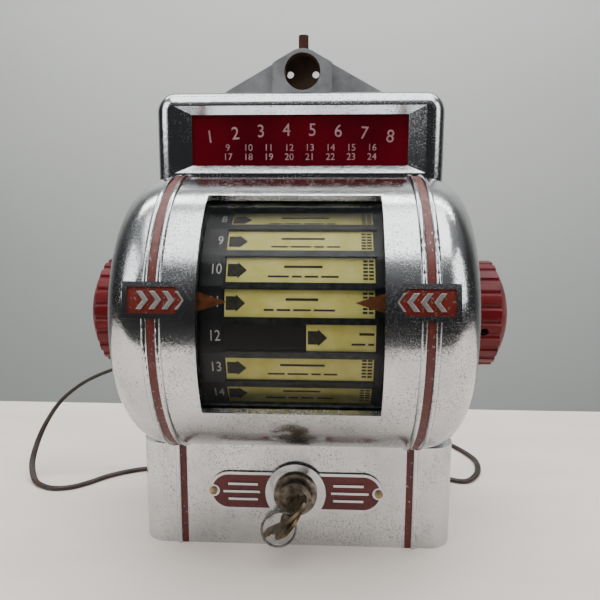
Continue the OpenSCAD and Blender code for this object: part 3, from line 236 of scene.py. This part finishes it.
def rested(x, y, z):
    """A flat cord is thinner than it is wide, so near the table its middle sinks a little."""
    return Vector((x, y, z - TABLE_REST * max(0, 1 - (z - LYING_Z) / REST_SPAN)))


route = smooth_line([rested(*p) for p in ROUTE_MM], 4)
coil = coil_line(route[-1])
last = coil[-1]
climb = PLUG_HEIGHT - last.z
tail_steps = ((0, 0, 0), (-11, 2, climb * 0.3), (-20, 8, climb * 0.8), (-26, 17, climb))
tail = smooth_line([last + Vector(step) for step in tail_steps], 3)
tail_way = Vector((math.cos(math.radians(PLUG_TURN)), math.sin(math.radians(PLUG_TURN)), 0))
tail.append(tail[-1] + tail_way * CORD_WIDTH * 1000)
cord_line = [p * 0.001 for p in route[1:] + coil + tail[1:]]


# %% Sweep the cord's outline
def sweep(name, line, outline, side_hint):
    """A closed tube that carries a flat outline along a line, always level side to side."""
    verts, faces, n = [], [], len(outline)
    for i, p in enumerate(line):
        way = (line[min(i + 1, len(line) - 1)] - line[max(i - 1, 0)]).normalized()
        across = side_hint.cross(way).normalized()
        over = way.cross(across)
        verts += [p + across * x + over * y for x, y in outline]
    for i in range(len(line) - 1):
        for k in range(n):
            faces.append((i * n + k, i * n + (k + 1) % n, (i + 1) * n + (k + 1) % n, (i + 1) * n + k))
    faces.append(tuple(reversed(range(n))))
    faces.append(tuple((len(line) - 1) * n + k for k in range(n)))
    mesh = bpy.data.meshes.new(name)
    mesh.from_pydata([tuple(v) for v in verts], [], faces)
    made = bpy.data.objects.new(name, mesh)
    bpy.context.collection.objects.link(made)
    bpy.ops.object.select_all(action="DESELECT")
    made.select_set(True)
    bpy.context.view_layer.objects.active = made
    bpy.ops.object.mode_set(mode="EDIT")
    bpy.ops.mesh.select_all(action="SELECT")
    bpy.ops.mesh.normals_make_consistent(inside=False)
    bpy.ops.object.mode_set(mode="OBJECT")
    bpy.ops.object.shade_smooth_by_angle(angle=math.radians(50))
    return made


# The cores are a little under the measured size, so that the cord stays in the CAD box
CORE_SHARE, CORE_TALL, ARC_POINTS, ARC_SWEEP = 0.92, 1.1, 10, 280
core = CORD_WIDTH / 4 * CORE_SHARE
figure_eight = []
for centre, start in ((core, -140), (-core, 40)):
    for k in range(ARC_POINTS):
        a = math.radians(start + k * ARC_SWEEP / (ARC_POINTS - 1))
        figure_eight.append((centre + core * math.cos(a), core * CORE_TALL * math.sin(a)))
flat_cord = sweep("flat_cord", cord_line, figure_eight, Vector((0, 0, 1)))
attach(flat_cord, "case")
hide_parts("power_cord", "cord_coil")

# %% [markdown]
# ## Finishes
# Every finish is built from noise at a real grain size in millimetres, read from Object
# coordinates, so it stays put when a piece moves. One function covers the plain ones:
# two colours mixed by a mottle, a roughness that follows the same mottle, and a fine
# bump. Chrome, paint with chips and the raw casting get trees of their own.

# %% A general finish
def object_place(tree):
    return add_node(tree, "ShaderNodeTexCoord").outputs["Object"]


def noise(tree, place, grain_mm, detail=4.0, rough=0.5):
    settings = {"Scale": 1000 / grain_mm, "Detail": detail, "Roughness": rough}
    return add_node(tree, "ShaderNodeTexNoise", settings, {"Vector": place}).outputs["Fac"]


def spread(tree, source, low, high, out_low, out_high):
    """Maps a source from low..high to out_low..out_high."""
    made = add_node(tree, "ShaderNodeMapRange", {1: low, 2: high, 3: out_low, 4: out_high}, {0: source})
    return made.outputs[0]


def add_bump(tree, shader, source, depth_mm):
    settings = {"Distance": depth_mm / 1000, "Strength": 1.0}
    made = add_node(tree, "ShaderNodeBump", settings, {"Height": source})
    tree.links.new(made.outputs[0], shader.inputs["Normal"])


def mottled(name, dark, light, mottle_mm, grain_mm, metallic, smooth, rough, depth_mm, coat=0.0):
    """A finish whose colour and roughness wander with a mottle, over a fine grain."""
    material, tree, shader = new_material(name)
    place = object_place(tree)
    wander = noise(tree, place, mottle_mm, 5.0)
    shade = ramp(tree, wander, [(0.32, linear(dark)), (0.68, linear(light))])
    tree.links.new(shade, shader.inputs["Base Color"])
    tree.links.new(spread(tree, wander, 0.3, 0.7, rough, smooth), shader.inputs["Roughness"])
    shader.inputs["Metallic"].default_value = metallic
    if coat:
        shader.inputs["Coat Weight"].default_value = coat
        shader.inputs["Coat Roughness"].default_value = 0.08
    add_bump(tree, shader, noise(tree, place, grain_mm, 3.0), depth_mm)
    return material


def wear(material, *names):
    """Gives CAD nodes or new pieces this material in every slot."""
    for name in names:
        piece = nodes.get(name) or bpy.data.objects[name]
        if not piece.data.materials:
            piece.data.materials.append(material)
        for i in range(len(piece.data.materials)):
            piece.data.materials[i] = material


# %% [markdown]
# ## Worn chrome over a casting
# Decades of cleaning have left the plate bright but pebbled. Three scales make it: broad
# cloudy patches, the casting's orange-peel skin about 3 mm across, and pits of about a
# millimetre, where the plate is gone and the metal is dull and dark.

# %% Chrome
def pitted_chrome(name, pit_share, skin_mm, skin_depth_mm, dark="#7d7f80", light="#d9dadb"):
    material, tree, shader = new_material(name)
    place = object_place(tree)
    cloud = noise(tree, place, 45, 4.0)
    pit_mask = spread(tree, noise(tree, place, 1.0, 3.0, 0.6), 1 - pit_share, 1.13 - pit_share, 0.0, 0.75)
    patch = spread(tree, noise(tree, place, 26, 3.0), 0.38, 0.62, 0.25, 1.0)
    dull = add_node(tree, "ShaderNodeMath", {"operation": "MULTIPLY"}, {0: pit_mask, 1: patch}).outputs[0]
    plate = ramp(tree, cloud, [(0.3, linear("#b4b6b8")), (0.7, linear(light))])
    colour = add_node(
        tree, "ShaderNodeMixRGB", {"Color2": linear(dark)}, {"Fac": dull, "Color1": plate}
    ).outputs[0]
    tree.links.new(colour, shader.inputs["Base Color"])
    plate_rough = spread(tree, cloud, 0.3, 0.7, 0.2, 0.1)
    rough = add_node(
        tree, "ShaderNodeMath", {"operation": "MULTIPLY_ADD", 1: 0.3}, {0: dull, 2: plate_rough}
    ).outputs[0]
    tree.links.new(rough, shader.inputs["Roughness"])
    shader.inputs["Metallic"].default_value = 1.0
    skin = noise(tree, place, skin_mm, 3.0)
    relief = add_node(
        tree, "ShaderNodeMath", {"operation": "MULTIPLY_ADD", 1: -0.3}, {0: dull, 2: skin}
    ).outputs[0]
    add_bump(tree, shader, relief, skin_depth_mm)
    return material


cover_chrome = pitted_chrome("worn_chrome_plate", 0.49, 2.6, 0.07)
plate_chrome = pitted_chrome("nameplate_chrome", 0.42, 3.0, 0.03)
wear(cover_chrome, "front_cover")
wear(plate_chrome, "nameplate")


# %% [markdown]
# ## The raw rear casting
# Behind the plated cover the alloy was left as it came from the die: grey, chalky and
# stained. The coin cup is coloured darker and browner inside, so a mask picks out points
# near the cup's axis by their place.

# %% Raw casting with a darker cup inside
CUP_X, CUP_Z, CUP_RADIUS = 0.0, 0.3208, 0.0131
CUP_EDGE = (CUP_RADIUS + 0.00025, CUP_RADIUS + 0.0004)
CUP_MOUTH_Y = (0.0571, 0.0578)


def raw_casting(name):
    material, tree, shader = new_material(name)
    place = object_place(tree)
    cloud = noise(tree, place, 22, 6.0, 0.6)
    grit = noise(tree, place, 0.9, 3.0)
    greys = [(0.3, linear("#77787a")), (0.5, linear("#939496")), (0.72, linear("#acadae"))]
    alloy = ramp(tree, cloud, greys)
    parts = add_node(tree, "ShaderNodeSeparateXYZ", links={"Vector": place})
    from_axis = add_node(
        tree, "ShaderNodeCombineXYZ", links={"X": parts.outputs["X"], "Y": parts.outputs["Z"]}
    )
    to_axis = {"operation": "DISTANCE", 1: (CUP_X, CUP_Z, 0)}
    reach = add_node(tree, "ShaderNodeVectorMath", to_axis, {0: from_axis.outputs[0]}).outputs["Value"]
    near = spread(tree, reach, *CUP_EDGE, 1.0, 0.0)
    inside = spread(tree, parts.outputs["Y"], *CUP_MOUTH_Y, 0.0, 1.0)
    # This mask makes the whole inside of the cup darker and browner, and less metallic
    darker_cup_inside = add_node(tree, "ShaderNodeMath", {"operation": "MULTIPLY"}, {0: near, 1: inside}).outputs[0]
    brown = ramp(tree, cloud, [(0.35, linear("#4a3a2c")), (0.65, linear("#6e5844"))])
    colour = add_node(
        tree, "ShaderNodeMixRGB", links={"Fac": darker_cup_inside, "Color1": alloy, "Color2": brown}
    ).outputs[0]
    tree.links.new(colour, shader.inputs["Base Color"])
    metal = spread(tree, darker_cup_inside, 0.0, 1.0, 0.6, 0.2)
    tree.links.new(metal, shader.inputs["Metallic"])
    tree.links.new(spread(tree, grit, 0.35, 0.65, 0.42, 0.62), shader.inputs["Roughness"])
    add_bump(tree, shader, grit, 0.12)
    return material


wear(raw_casting("raw_die_casting"), "rear_casting")


# %% [markdown]
# ## Chipped paint, with painted light on its upper part
# The stripes and fields were filled with red paint. Their upper part is painted lighter,
# a pinkish brown, as painted light from the lamps above, and chips show the metal below.
# Height up the box drives this painted light, and a noise with a hard edge makes the chips.

# %% Chipped paint
CHIP_EDGE = 0.025


def chipped_paint(name, low_colour, painted_light_colour, low_z, high_z, chip_share, metal="#a8a5a2"):
    material, tree, shader = new_material(name)
    place = object_place(tree)
    parts = add_node(tree, "ShaderNodeSeparateXYZ", links={"Vector": place})
    # Painted light: the colour lightens towards high_z, so the upper part of each piece is painted as lit
    # by the lamps above
    level = spread(tree, parts.outputs["Z"], low_z, high_z, 0.0, 1.0)
    lit_from_above = ramp(tree, level, [(0.0, linear(low_colour)), (1.0, linear(painted_light_colour))])
    blotch = noise(tree, place, 4.0, 5.0, 0.6)
    dirt = ramp(tree, blotch, [(0.3, (0.45, 0.42, 0.42, 1)), (0.6, (1, 1, 1, 1))])
    uneven = add_node(
        tree, "ShaderNodeMixRGB", {"blend_type": "MULTIPLY", "Fac": 0.55}, {"Color1": lit_from_above, "Color2": dirt}
    ).outputs[0]
    flakes = noise(tree, place, 2.2, 6.0, 0.7)
    chips = spread(tree, flakes, 1 - chip_share, 1 - chip_share + CHIP_EDGE, 0.0, 1.0)
    colour = add_node(
        tree, "ShaderNodeMixRGB", {"Color2": linear(metal)}, {"Fac": chips, "Color1": uneven}
    ).outputs[0]
    tree.links.new(colour, shader.inputs["Base Color"])
    tree.links.new(chips, shader.inputs["Metallic"])
    tree.links.new(spread(tree, blotch, 0.3, 0.7, 0.5, 0.32), shader.inputs["Roughness"])
    add_bump(tree, shader, blotch, 0.06)
    return material


# The second colour of each is painted light on the upper part of the piece
stripe_paint = chipped_paint("stripe_paint_with_painted_light", "#5a1216", "#6c3026", 0.06, 0.24, 0.38)
badge_paint = chipped_paint("badge_paint", "#5c150d", "#762517", 0.16, 0.19, 0.40)
maroon_paint = chipped_paint("nameplate_paint", "#521014", "#64181b", 0.02, 0.05, 0.34)
wear(stripe_paint, "stripe_enamel_left", "stripe_enamel_right")
wear(badge_paint, "badge_enamel_left", "badge_enamel_right")
wear(maroon_paint, "nameplate_enamel")

# %% Plain finishes for the other pieces
knob_plastic = mottled("knob_red_plastic", "#58090f", "#6f0f17", 14, 0.8, 0.0, 0.3, 0.45, 0.02)
knob_plastic.node_tree.nodes["Principled BSDF"].inputs["Specular IOR Level"].default_value = 0.28
wear(knob_plastic, "knob_left", "knob_right")
sign_glass = mottled("sign_ruby_glass", "#4c0010", "#620614", 30, 2.0, 0.0, 0.06, 0.12, 0.004, coat=0.6)
wear(sign_glass, "sign_glass")
brown_bronze = mottled("pointer_bronze_paint", "#5a2e17", "#8b5128", 5, 0.6, 0.35, 0.35, 0.5, 0.02)
wear(brown_bronze, "pointer_left", "pointer_right")
dull_nickel = mottled("lock_dull_nickel", "#4c443a", "#8d857a", 4, 0.5, 0.9, 0.28, 0.48, 0.03)
wear(dull_nickel, "lock_body", "lock_plug")
key_brass = mottled("tarnished_key_brass", "#57503f", "#8b8068", 6, 0.5, 0.95, 0.25, 0.42, 0.02)
wear(key_brass, "door_key")
dark_brass = mottled("spare_key_brass", "#463c2b", "#7b6a4a", 5, 0.5, 0.95, 0.3, 0.45, 0.02)
wear(dark_brass, "spare_key")
ring_steel = mottled("key_ring_steel", "#4a4744", "#8d8a86", 3, 0.4, 1.0, 0.22, 0.4, 0.01)
wear(ring_steel, "key_ring")
rusty_steel = mottled("rusty_plunger_steel", "#2e1609", "#5c321b", 3, 0.4, 0.45, 0.45, 0.7, 0.05)
wear(rusty_steel, "reject_plunger")
turned_steel = mottled("turned_steel", "#6c6d70", "#b4b6b8", 8, 0.3, 1.0, 0.18, 0.32, 0.008)
wear(turned_steel, "drum_shaft", "knob_screws", "bracket_screws", "detent_spring", "plunger_spring")
zinc_sheet = mottled("zinc_plated_sheet", "#7c7f80", "#b9bcb8", 12, 1.2, 0.95, 0.3, 0.46, 0.02)
wear(
    zinc_sheet, "bearing_bracket_left", "bearing_bracket_right", "coin_runway", "slug_rejector",
    "coin_tube", "lamp_board", "keeper_bracket", "sign_retainer",
)
old_brass = mottled("turned_brass", "#8a6a30", "#c8a45c", 6, 0.4, 1.0, 0.22, 0.38, 0.01)
wear(
    old_brass, "contact_studs", "detent_roller", "terminal_screws", "plunger_guide", "detent_wheel",
    "wiper_arm", "lock_nut",
)
worn_brass = mottled("nameplate_screw_brass", "#6d6048", "#a89770", 3, 0.3, 0.9, 0.3, 0.5, 0.02)
wear(worn_brass, "nameplate_screws")
bush_bronze = mottled("sintered_bronze", "#6e4420", "#a06a38", 3, 0.4, 0.9, 0.4, 0.55, 0.02)
wear(bush_bronze, "shaft_bush_left", "shaft_bush_right")
phenolic = mottled("brown_phenolic_board", "#2c160b", "#4a2817", 5, 0.6, 0.0, 0.35, 0.5, 0.02)
wear(phenolic, "contact_disc", "terminal_strip")
black_moulding = mottled("black_phenolic_moulding", "#0d0d0d", "#1c1b1a", 6, 0.5, 0.0, 0.3, 0.45, 0.02)
wear(black_moulding, "coin_switch")
coil_varnish = mottled("varnished_coil_wire", "#4a100c", "#7d2418", 4, 0.25, 0.1, 0.25, 0.4, 0.05)
wear(coil_varnish, "selector_relay")
lamp_glass = mottled("frosted_lamp_glass", "#cfc8b8", "#f0eadc", 6, 0.5, 0.0, 0.15, 0.3, 0.01)
wear(lamp_glass, "sign_lamps")
box_enamel = mottled("cash_box_enamel", "#3f474c", "#5a6368", 15, 0.8, 0.0, 0.35, 0.5, 0.02)
wear(box_enamel, "cash_box")
drum_enamel = mottled("drum_dark_enamel", "#080808", "#1c1a19", 7, 0.7, 0.15, 0.3, 0.5, 0.03)
wear(drum_enamel, "drum_shell", "drum_end_left", "drum_end_right")
rail_enamel = mottled("rail_dark_enamel", "#0e0f10", "#3a3d3d", 4, 0.5, 0.4, 0.28, 0.45, 0.02)
wear(rail_enamel, "strip_rails")
number_card = mottled("number_band_card", "#08090a", "#1b1c1d", 8, 0.5, 0.0, 0.4, 0.6, 0.01)
wear(number_card, "number_band")
retainer_metal = mottled("window_frame_dark_steel", "#2c2e30", "#6b6e70", 6, 0.5, 0.9, 0.3, 0.5, 0.02)
wear(retainer_metal, "window_retainer")
cord_vinyl = mottled("brown_cord_jacket", "#1c110b", "#3a261a", 12, 0.8, 0.0, 0.35, 0.5, 0.02)
wear(cord_vinyl, "flat_cord", "cord_plug", "cable_grommet")
white_ink = mottled("drum_numeral_paint", "#b9bab6", "#e2e2dc", 3, 0.4, 0.0, 0.5, 0.7, 0.005)
pink_ink = mottled("sign_numeral_paint", "#9a6a70", "#c09a9c", 4, 0.4, 0.0, 0.4, 0.6, 0.005)
black_ink = mottled("printing_ink", "#1d1a12", "#3c3626", 2, 0.3, 0.0, 0.6, 0.8, 0.002)
title_card = mottled("aged_title_card", "#d8d068", "#efe78c", 9, 0.5, 0.0, 0.5, 0.7, 0.01)
badge_metal = mottled("brushed_badge_plate", "#a3a19e", "#cfcdc9", 3, 0.4, 1.0, 0.36, 0.5, 0.02)
print("materials", len(bpy.data.materials))

# %% Clear window glass
window_glass, _, glass_shader = new_material("clear_window_glass")
glass_shader.inputs["Base Color"].default_value = (0.012, 0.014, 0.014, 1)
glass_shader.inputs["Roughness"].default_value = 0.05
glass_shader.inputs["Alpha"].default_value = 0.13
wear(window_glass, "window_pane")

# %% [markdown]
# ## Putting print on the drum
# The drum has 24 flat places, one for each title. A numeral or a strip is made once flat,
# face up, then turned to its place round the drum's axis. The turn is applied to the mesh,
# so each finished piece sits at the origin.

# %% Helpers for flat pieces
AXIS = Vector((0, 0.004, 0.1545))
READING_ANGLE, ROW_ANGLE, ROWS = 12.6, 15.0, 24


def drum_place(angle):
    """Turns +Z to point out from the drum's axis at angle: 0 is to the front, 90 is up."""
    return Matrix.Translation(AXIS) @ Matrix.Rotation(math.radians(90 - angle), 4, "X")


def settle(piece, place):
    """Moves a piece by a matrix and applies the move to its mesh."""
    bpy.ops.object.select_all(action="DESELECT")
    piece.select_set(True)
    bpy.context.view_layer.objects.active = piece
    piece.matrix_world = place @ piece.matrix_world
    bpy.ops.object.transform_apply(location=True, rotation=True, scale=True)
    return piece


def join(name, pieces):
    """Joins pieces into one object with this name."""
    bpy.ops.object.select_all(action="DESELECT")
    for piece in pieces:
        piece.select_set(True)
    bpy.context.view_layer.objects.active = pieces[0]
    bpy.ops.object.join()
    joined = bpy.context.object
    joined.name = name
    return joined


def bar(x0, y0, x1, y1, z0, z1):
    """A flat bar between two corners."""
    bpy.ops.object.select_all(action="DESELECT")
    bpy.ops.mesh.primitive_cube_add(size=1, location=((x0 + x1) / 2, (y0 + y1) / 2, (z0 + z1) / 2))
    made = bpy.context.object
    made.scale = (x1 - x0, y1 - y0, z1 - z0)
    bpy.ops.object.transform_apply(location=True, rotation=True, scale=True)
    return made


def numeral(words, height, depth, widen=1.0):
    """A raised numeral, centred, face up."""
    bpy.ops.object.select_all(action="DESELECT")
    bpy.ops.object.text_add()
    made = bpy.context.object
    made.data.body = words
    made.data.size = height / 0.7
    made.data.align_x, made.data.align_y = "CENTER", "CENTER"
    made.data.extrude = depth / 2
    made.data.resolution_u = 4
    bpy.ops.object.convert(target="MESH")
    made = bpy.context.object
    made.scale = (widen, 1, 1)
    bpy.ops.object.transform_apply(location=True, rotation=True, scale=True)
    return made


# %% Numerals round the number band
BAND_RADIUS, BAND_MIDDLE_X = 0.0721, -0.0436
READING_NUMBER, NUMERAL_HEIGHT, NUMERAL_DEPTH, NUMERAL_WIDEN = 11, 0.0062, 0.0002, 0.8
numerals = []
for row in range(ROWS):
    shown = (READING_NUMBER - row - 1) % ROWS + 1
    digit = numeral(str(shown), NUMERAL_HEIGHT, NUMERAL_DEPTH, NUMERAL_WIDEN)
    aside = 0.0006 if shown > 9 else 0.0017
    digit.location = (BAND_MIDDLE_X + aside, 0.0004, BAND_RADIUS + NUMERAL_DEPTH / 2)
    bpy.ops.object.transform_apply(location=True, rotation=True, scale=True)
    numerals.append(settle(digit, drum_place(READING_ANGLE + row * ROW_ANGLE)))
drum_numerals = join("drum_numerals", numerals)
wear(white_ink, "drum_numerals")
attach(drum_numerals, "drum")
print("drum numerals", len(drum_numerals.data.vertices), "points")

# %% [markdown]
# ## Title strips
# Each strip is a yellow card with a dark arrow block at its left end, two lines of type
# and a column of small marks at its right end. The type is set as plain bars of ink, so
# nothing can be read. The arrow block is a flat bar with a three-sided head. One strip
# has slid to the right in its rails and shows its arrow late.

# %% One strip's card and print
STRIP_X0, STRIP_LENGTH, STRIP_HALF, CARD_FACE = -0.0374, 0.084, 0.0077, 0.072
CARD_THICK, SLID_X0, SLID_X1 = 0.0004, 0.0082, 0.0466
INK_LOW, INK_HIGH = CARD_FACE - 0.00005, CARD_FACE + 0.00012


def title_card_piece(x0, x1):
    """A flat card with its edges taken off."""
    bpy.ops.object.select_all(action="DESELECT")
    bpy.ops.mesh.primitive_cube_add(size=1, location=((x0 + x1) / 2, 0, CARD_FACE - CARD_THICK / 2))
    card = bpy.context.object
    card.scale = (x1 - x0, 2 * STRIP_HALF, CARD_THICK)
    bpy.ops.object.transform_apply(location=True, rotation=True, scale=True)
    rounding = card.modifiers.new("corners", "BEVEL")
    rounding.width, rounding.segments, rounding.limit_method = 0.00012, 1, "ANGLE"
    bpy.ops.object.modifier_apply(modifier=rounding.name)
    return card


def arrow_block(x0):
    """A dark block whose right side comes to a point."""
    block = bar(x0, -0.0038, x0 + 0.0062, 0.0038, INK_LOW, INK_HIGH)
    bpy.ops.mesh.primitive_cylinder_add(
        vertices=3, radius=0.0056, depth=INK_HIGH - INK_LOW,
        location=(x0 + 0.0074, 0, (INK_LOW + INK_HIGH) / 2), rotation=(0, 0, -math.pi / 2),
    )
    head = bpy.context.object
    head.scale = (1.0, 0.62, 1)
    bpy.ops.object.transform_apply(location=True, rotation=True, scale=True)
    return [block, head]


def type_lines(x0, seed, x_end):
    """Bars of ink for a title, a line below it, and the marks at the right end."""
    bars = []
    spans = [(0.034 - 0.0016 * (seed % 4), 0.052 + 0.0019 * (seed % 5), 0.0016, 0.0030)]
    start = 0.022 + 0.0015 * (seed % 3)
    for word in range(4):
        wide = 0.0055 + 0.0021 * ((seed * 7 + word * 5) % 4)
        spans.append((start, start + wide, -0.0041, -0.0030))
        start += wide + 0.0016
    for a, b, low, high in spans:
        b = min(b, x_end - x0 - 0.001)
        if b - a > 0.002:
            bars.append(bar(x0 + a, low, x0 + b, high, INK_LOW, INK_HIGH))
    for line in range(6):
        for column in range(2):
            a = x0 + 0.0765 + column * 0.0032
            if a + 0.0026 < x_end:
                low, high = 0.0052 - line * 0.0021, 0.0064 - line * 0.0021
                bars.append(bar(a, low, a + 0.0026, high, INK_LOW, INK_HIGH))
    return bars


cards, prints = [], []
for row in range(ROWS):
    slid = row == ROWS - 1
    x0 = SLID_X0 if slid else STRIP_X0 + 0.0004 * math.sin(row * 2.3)
    x1 = SLID_X1 if slid else x0 + STRIP_LENGTH - 0.0008
    place = drum_place(READING_ANGLE + row * ROW_ANGLE)
    cards.append(settle(title_card_piece(x0, x1), place))
    printed = arrow_block(x0 + 0.0008) + type_lines(x0, row, x1)
    prints.append(settle(join("strip_print", printed), place))
strip_cards = join("strip_cards", cards)
strip_print = join("strip_print", prints)
wear(title_card, "strip_cards")
wear(black_ink, "strip_print")
for piece in (strip_cards, strip_print):
    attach(piece, "drum")
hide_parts("title_strips")
print("strips", ROWS, "print points", len(strip_print.data.vertices))

# %% [markdown]
# ## The sign
# The glass is red all over with pale pink characters fired on its face. Plain numbers from
# 1 to 24, as on a dial, fill the same three lines: a large one on a shallow arc and two
# small ones.

# %% Numbers on the sign
SIGN_FACE_Y, SIGN_MIDDLE_Z, SIGN_LIFT, SIGN_DEPTH = 0.0178, 0.2676, 0.00012, 0.0002
PER_LINE, LARGE_HEIGHT, SMALL_HEIGHT, LARGE_PITCH, SMALL_PITCH = 8, 0.0082, 0.0044, 0.0172, 0.0138


def sign_place(x, z, tilt=0.0):
    stand = Matrix.Rotation(math.pi / 2, 4, "X") @ Matrix.Rotation(tilt, 4, "Z")
    return Matrix.Translation((x, SIGN_FACE_Y - SIGN_LIFT, z)) @ stand


marks = []
for i in range(PER_LINE):
    off = i - (PER_LINE - 1) / 2
    place = sign_place(off * LARGE_PITCH, SIGN_MIDDLE_Z + 0.0066 - off**2 * 0.00036, -off * 0.035)
    marks.append(settle(numeral(str(i + 1), LARGE_HEIGHT, SIGN_DEPTH, 0.95), place))
for line, z in ((1, SIGN_MIDDLE_Z - 0.0048), (2, SIGN_MIDDLE_Z - 0.0108)):
    for i in range(PER_LINE):
        off = i - (PER_LINE - 1) / 2
        small = numeral(str(line * PER_LINE + i + 1), SMALL_HEIGHT, SIGN_DEPTH)
        marks.append(settle(small, sign_place(off * SMALL_PITCH, z)))
sign_numerals = join("sign_numerals", marks)
wear(pink_ink, "sign_numerals")
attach(sign_numerals, "cover")

# %% [markdown]
# ## Raised marks on badges and nameplate
# The badges carry four plain chevrons that point to the window, and the nameplate's
# wings carry speed lines. Both stand proud of the paint in bare metal. A chevron is a
# flat bar whose middle is pulled forward, then thickened and beveled.

# %% Chevrons
def chevron(x, point, half, thick, z0, z1):
    """A flat chevron whose tip is at x and points along point (1 or -1)."""
    bpy.ops.object.select_all(action="DESELECT")
    bpy.ops.mesh.primitive_grid_add(x_subdivisions=1, y_subdivisions=2, size=1, location=(x, 0, z0))
    made = bpy.context.object
    made.scale = (thick, 2 * half, 1)
    bpy.ops.object.transform_apply(location=True, rotation=True, scale=True)
    for vertex in made.data.vertices:
        vertex.co.x += point * (half - abs(vertex.co.y)) * 0.75
    wall = made.modifiers.new("thickness", "SOLIDIFY")
    wall.thickness, wall.offset = z1 - z0, 1
    edge = made.modifiers.new("edge", "BEVEL")
    edge.width, edge.segments = 0.0002, 2
    for modifier in (wall.name, edge.name):
        bpy.ops.object.modifier_apply(modifier=modifier)
    return made


BADGE_FLOOR, CHEVRON_SINK, CHEVRON_LIFT = 0.089, 0.0002, 0.0007
CHEVRON_HALF, CHEVRON_THICK, CHEVRON_PLACES = 0.0048, 0.0030, (0.0590, 0.0660, 0.0730, 0.0800)
for hand, name in ((-1, "badge_chevrons_left"), (1, "badge_chevrons_right")):
    low, high = BADGE_FLOOR - CHEVRON_SINK, BADGE_FLOOR + CHEVRON_LIFT
    marks = [chevron(hand * x, -hand, CHEVRON_HALF, CHEVRON_THICK, low, high) for x in CHEVRON_PLACES]
    chevrons = settle(join(name, marks), drum_place(READING_ANGLE))
    wear(badge_metal, name)
    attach(chevrons, "cover")

# %% Speed lines on the nameplate
PLATE_FACE_Y, LOCK_Z, LINE_SINK = -0.0222, 0.038, 0.0005
LINE_SPANS, LINE_PITCH, LINE_HALF = ((0.0245, 0.0445), (0.0232, 0.0478), (0.0245, 0.0445)), 0.0052, 0.0011
lines = []
for hand in (-1, 1):
    for level, (near, far) in enumerate(LINE_SPANS):
        z = (level - 1) * LINE_PITCH
        a, b = sorted((hand * near, hand * far))
        lines.append(bar(a, z - LINE_HALF, b, z + LINE_HALF, 0, LINE_HALF))
speed_lines = join("nameplate_speed_lines", lines)
edge = speed_lines.modifiers.new("edge", "BEVEL")
edge.width, edge.segments = 0.0004, 2
bpy.ops.object.modifier_apply(modifier=edge.name)
stand = Matrix.Rotation(math.pi / 2, 4, "X")
settle(speed_lines, Matrix.Translation((0, PLATE_FACE_Y + LINE_SINK, LOCK_Z)) @ stand)
wear(plate_chrome, "nameplate_speed_lines")
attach(speed_lines, "cover")
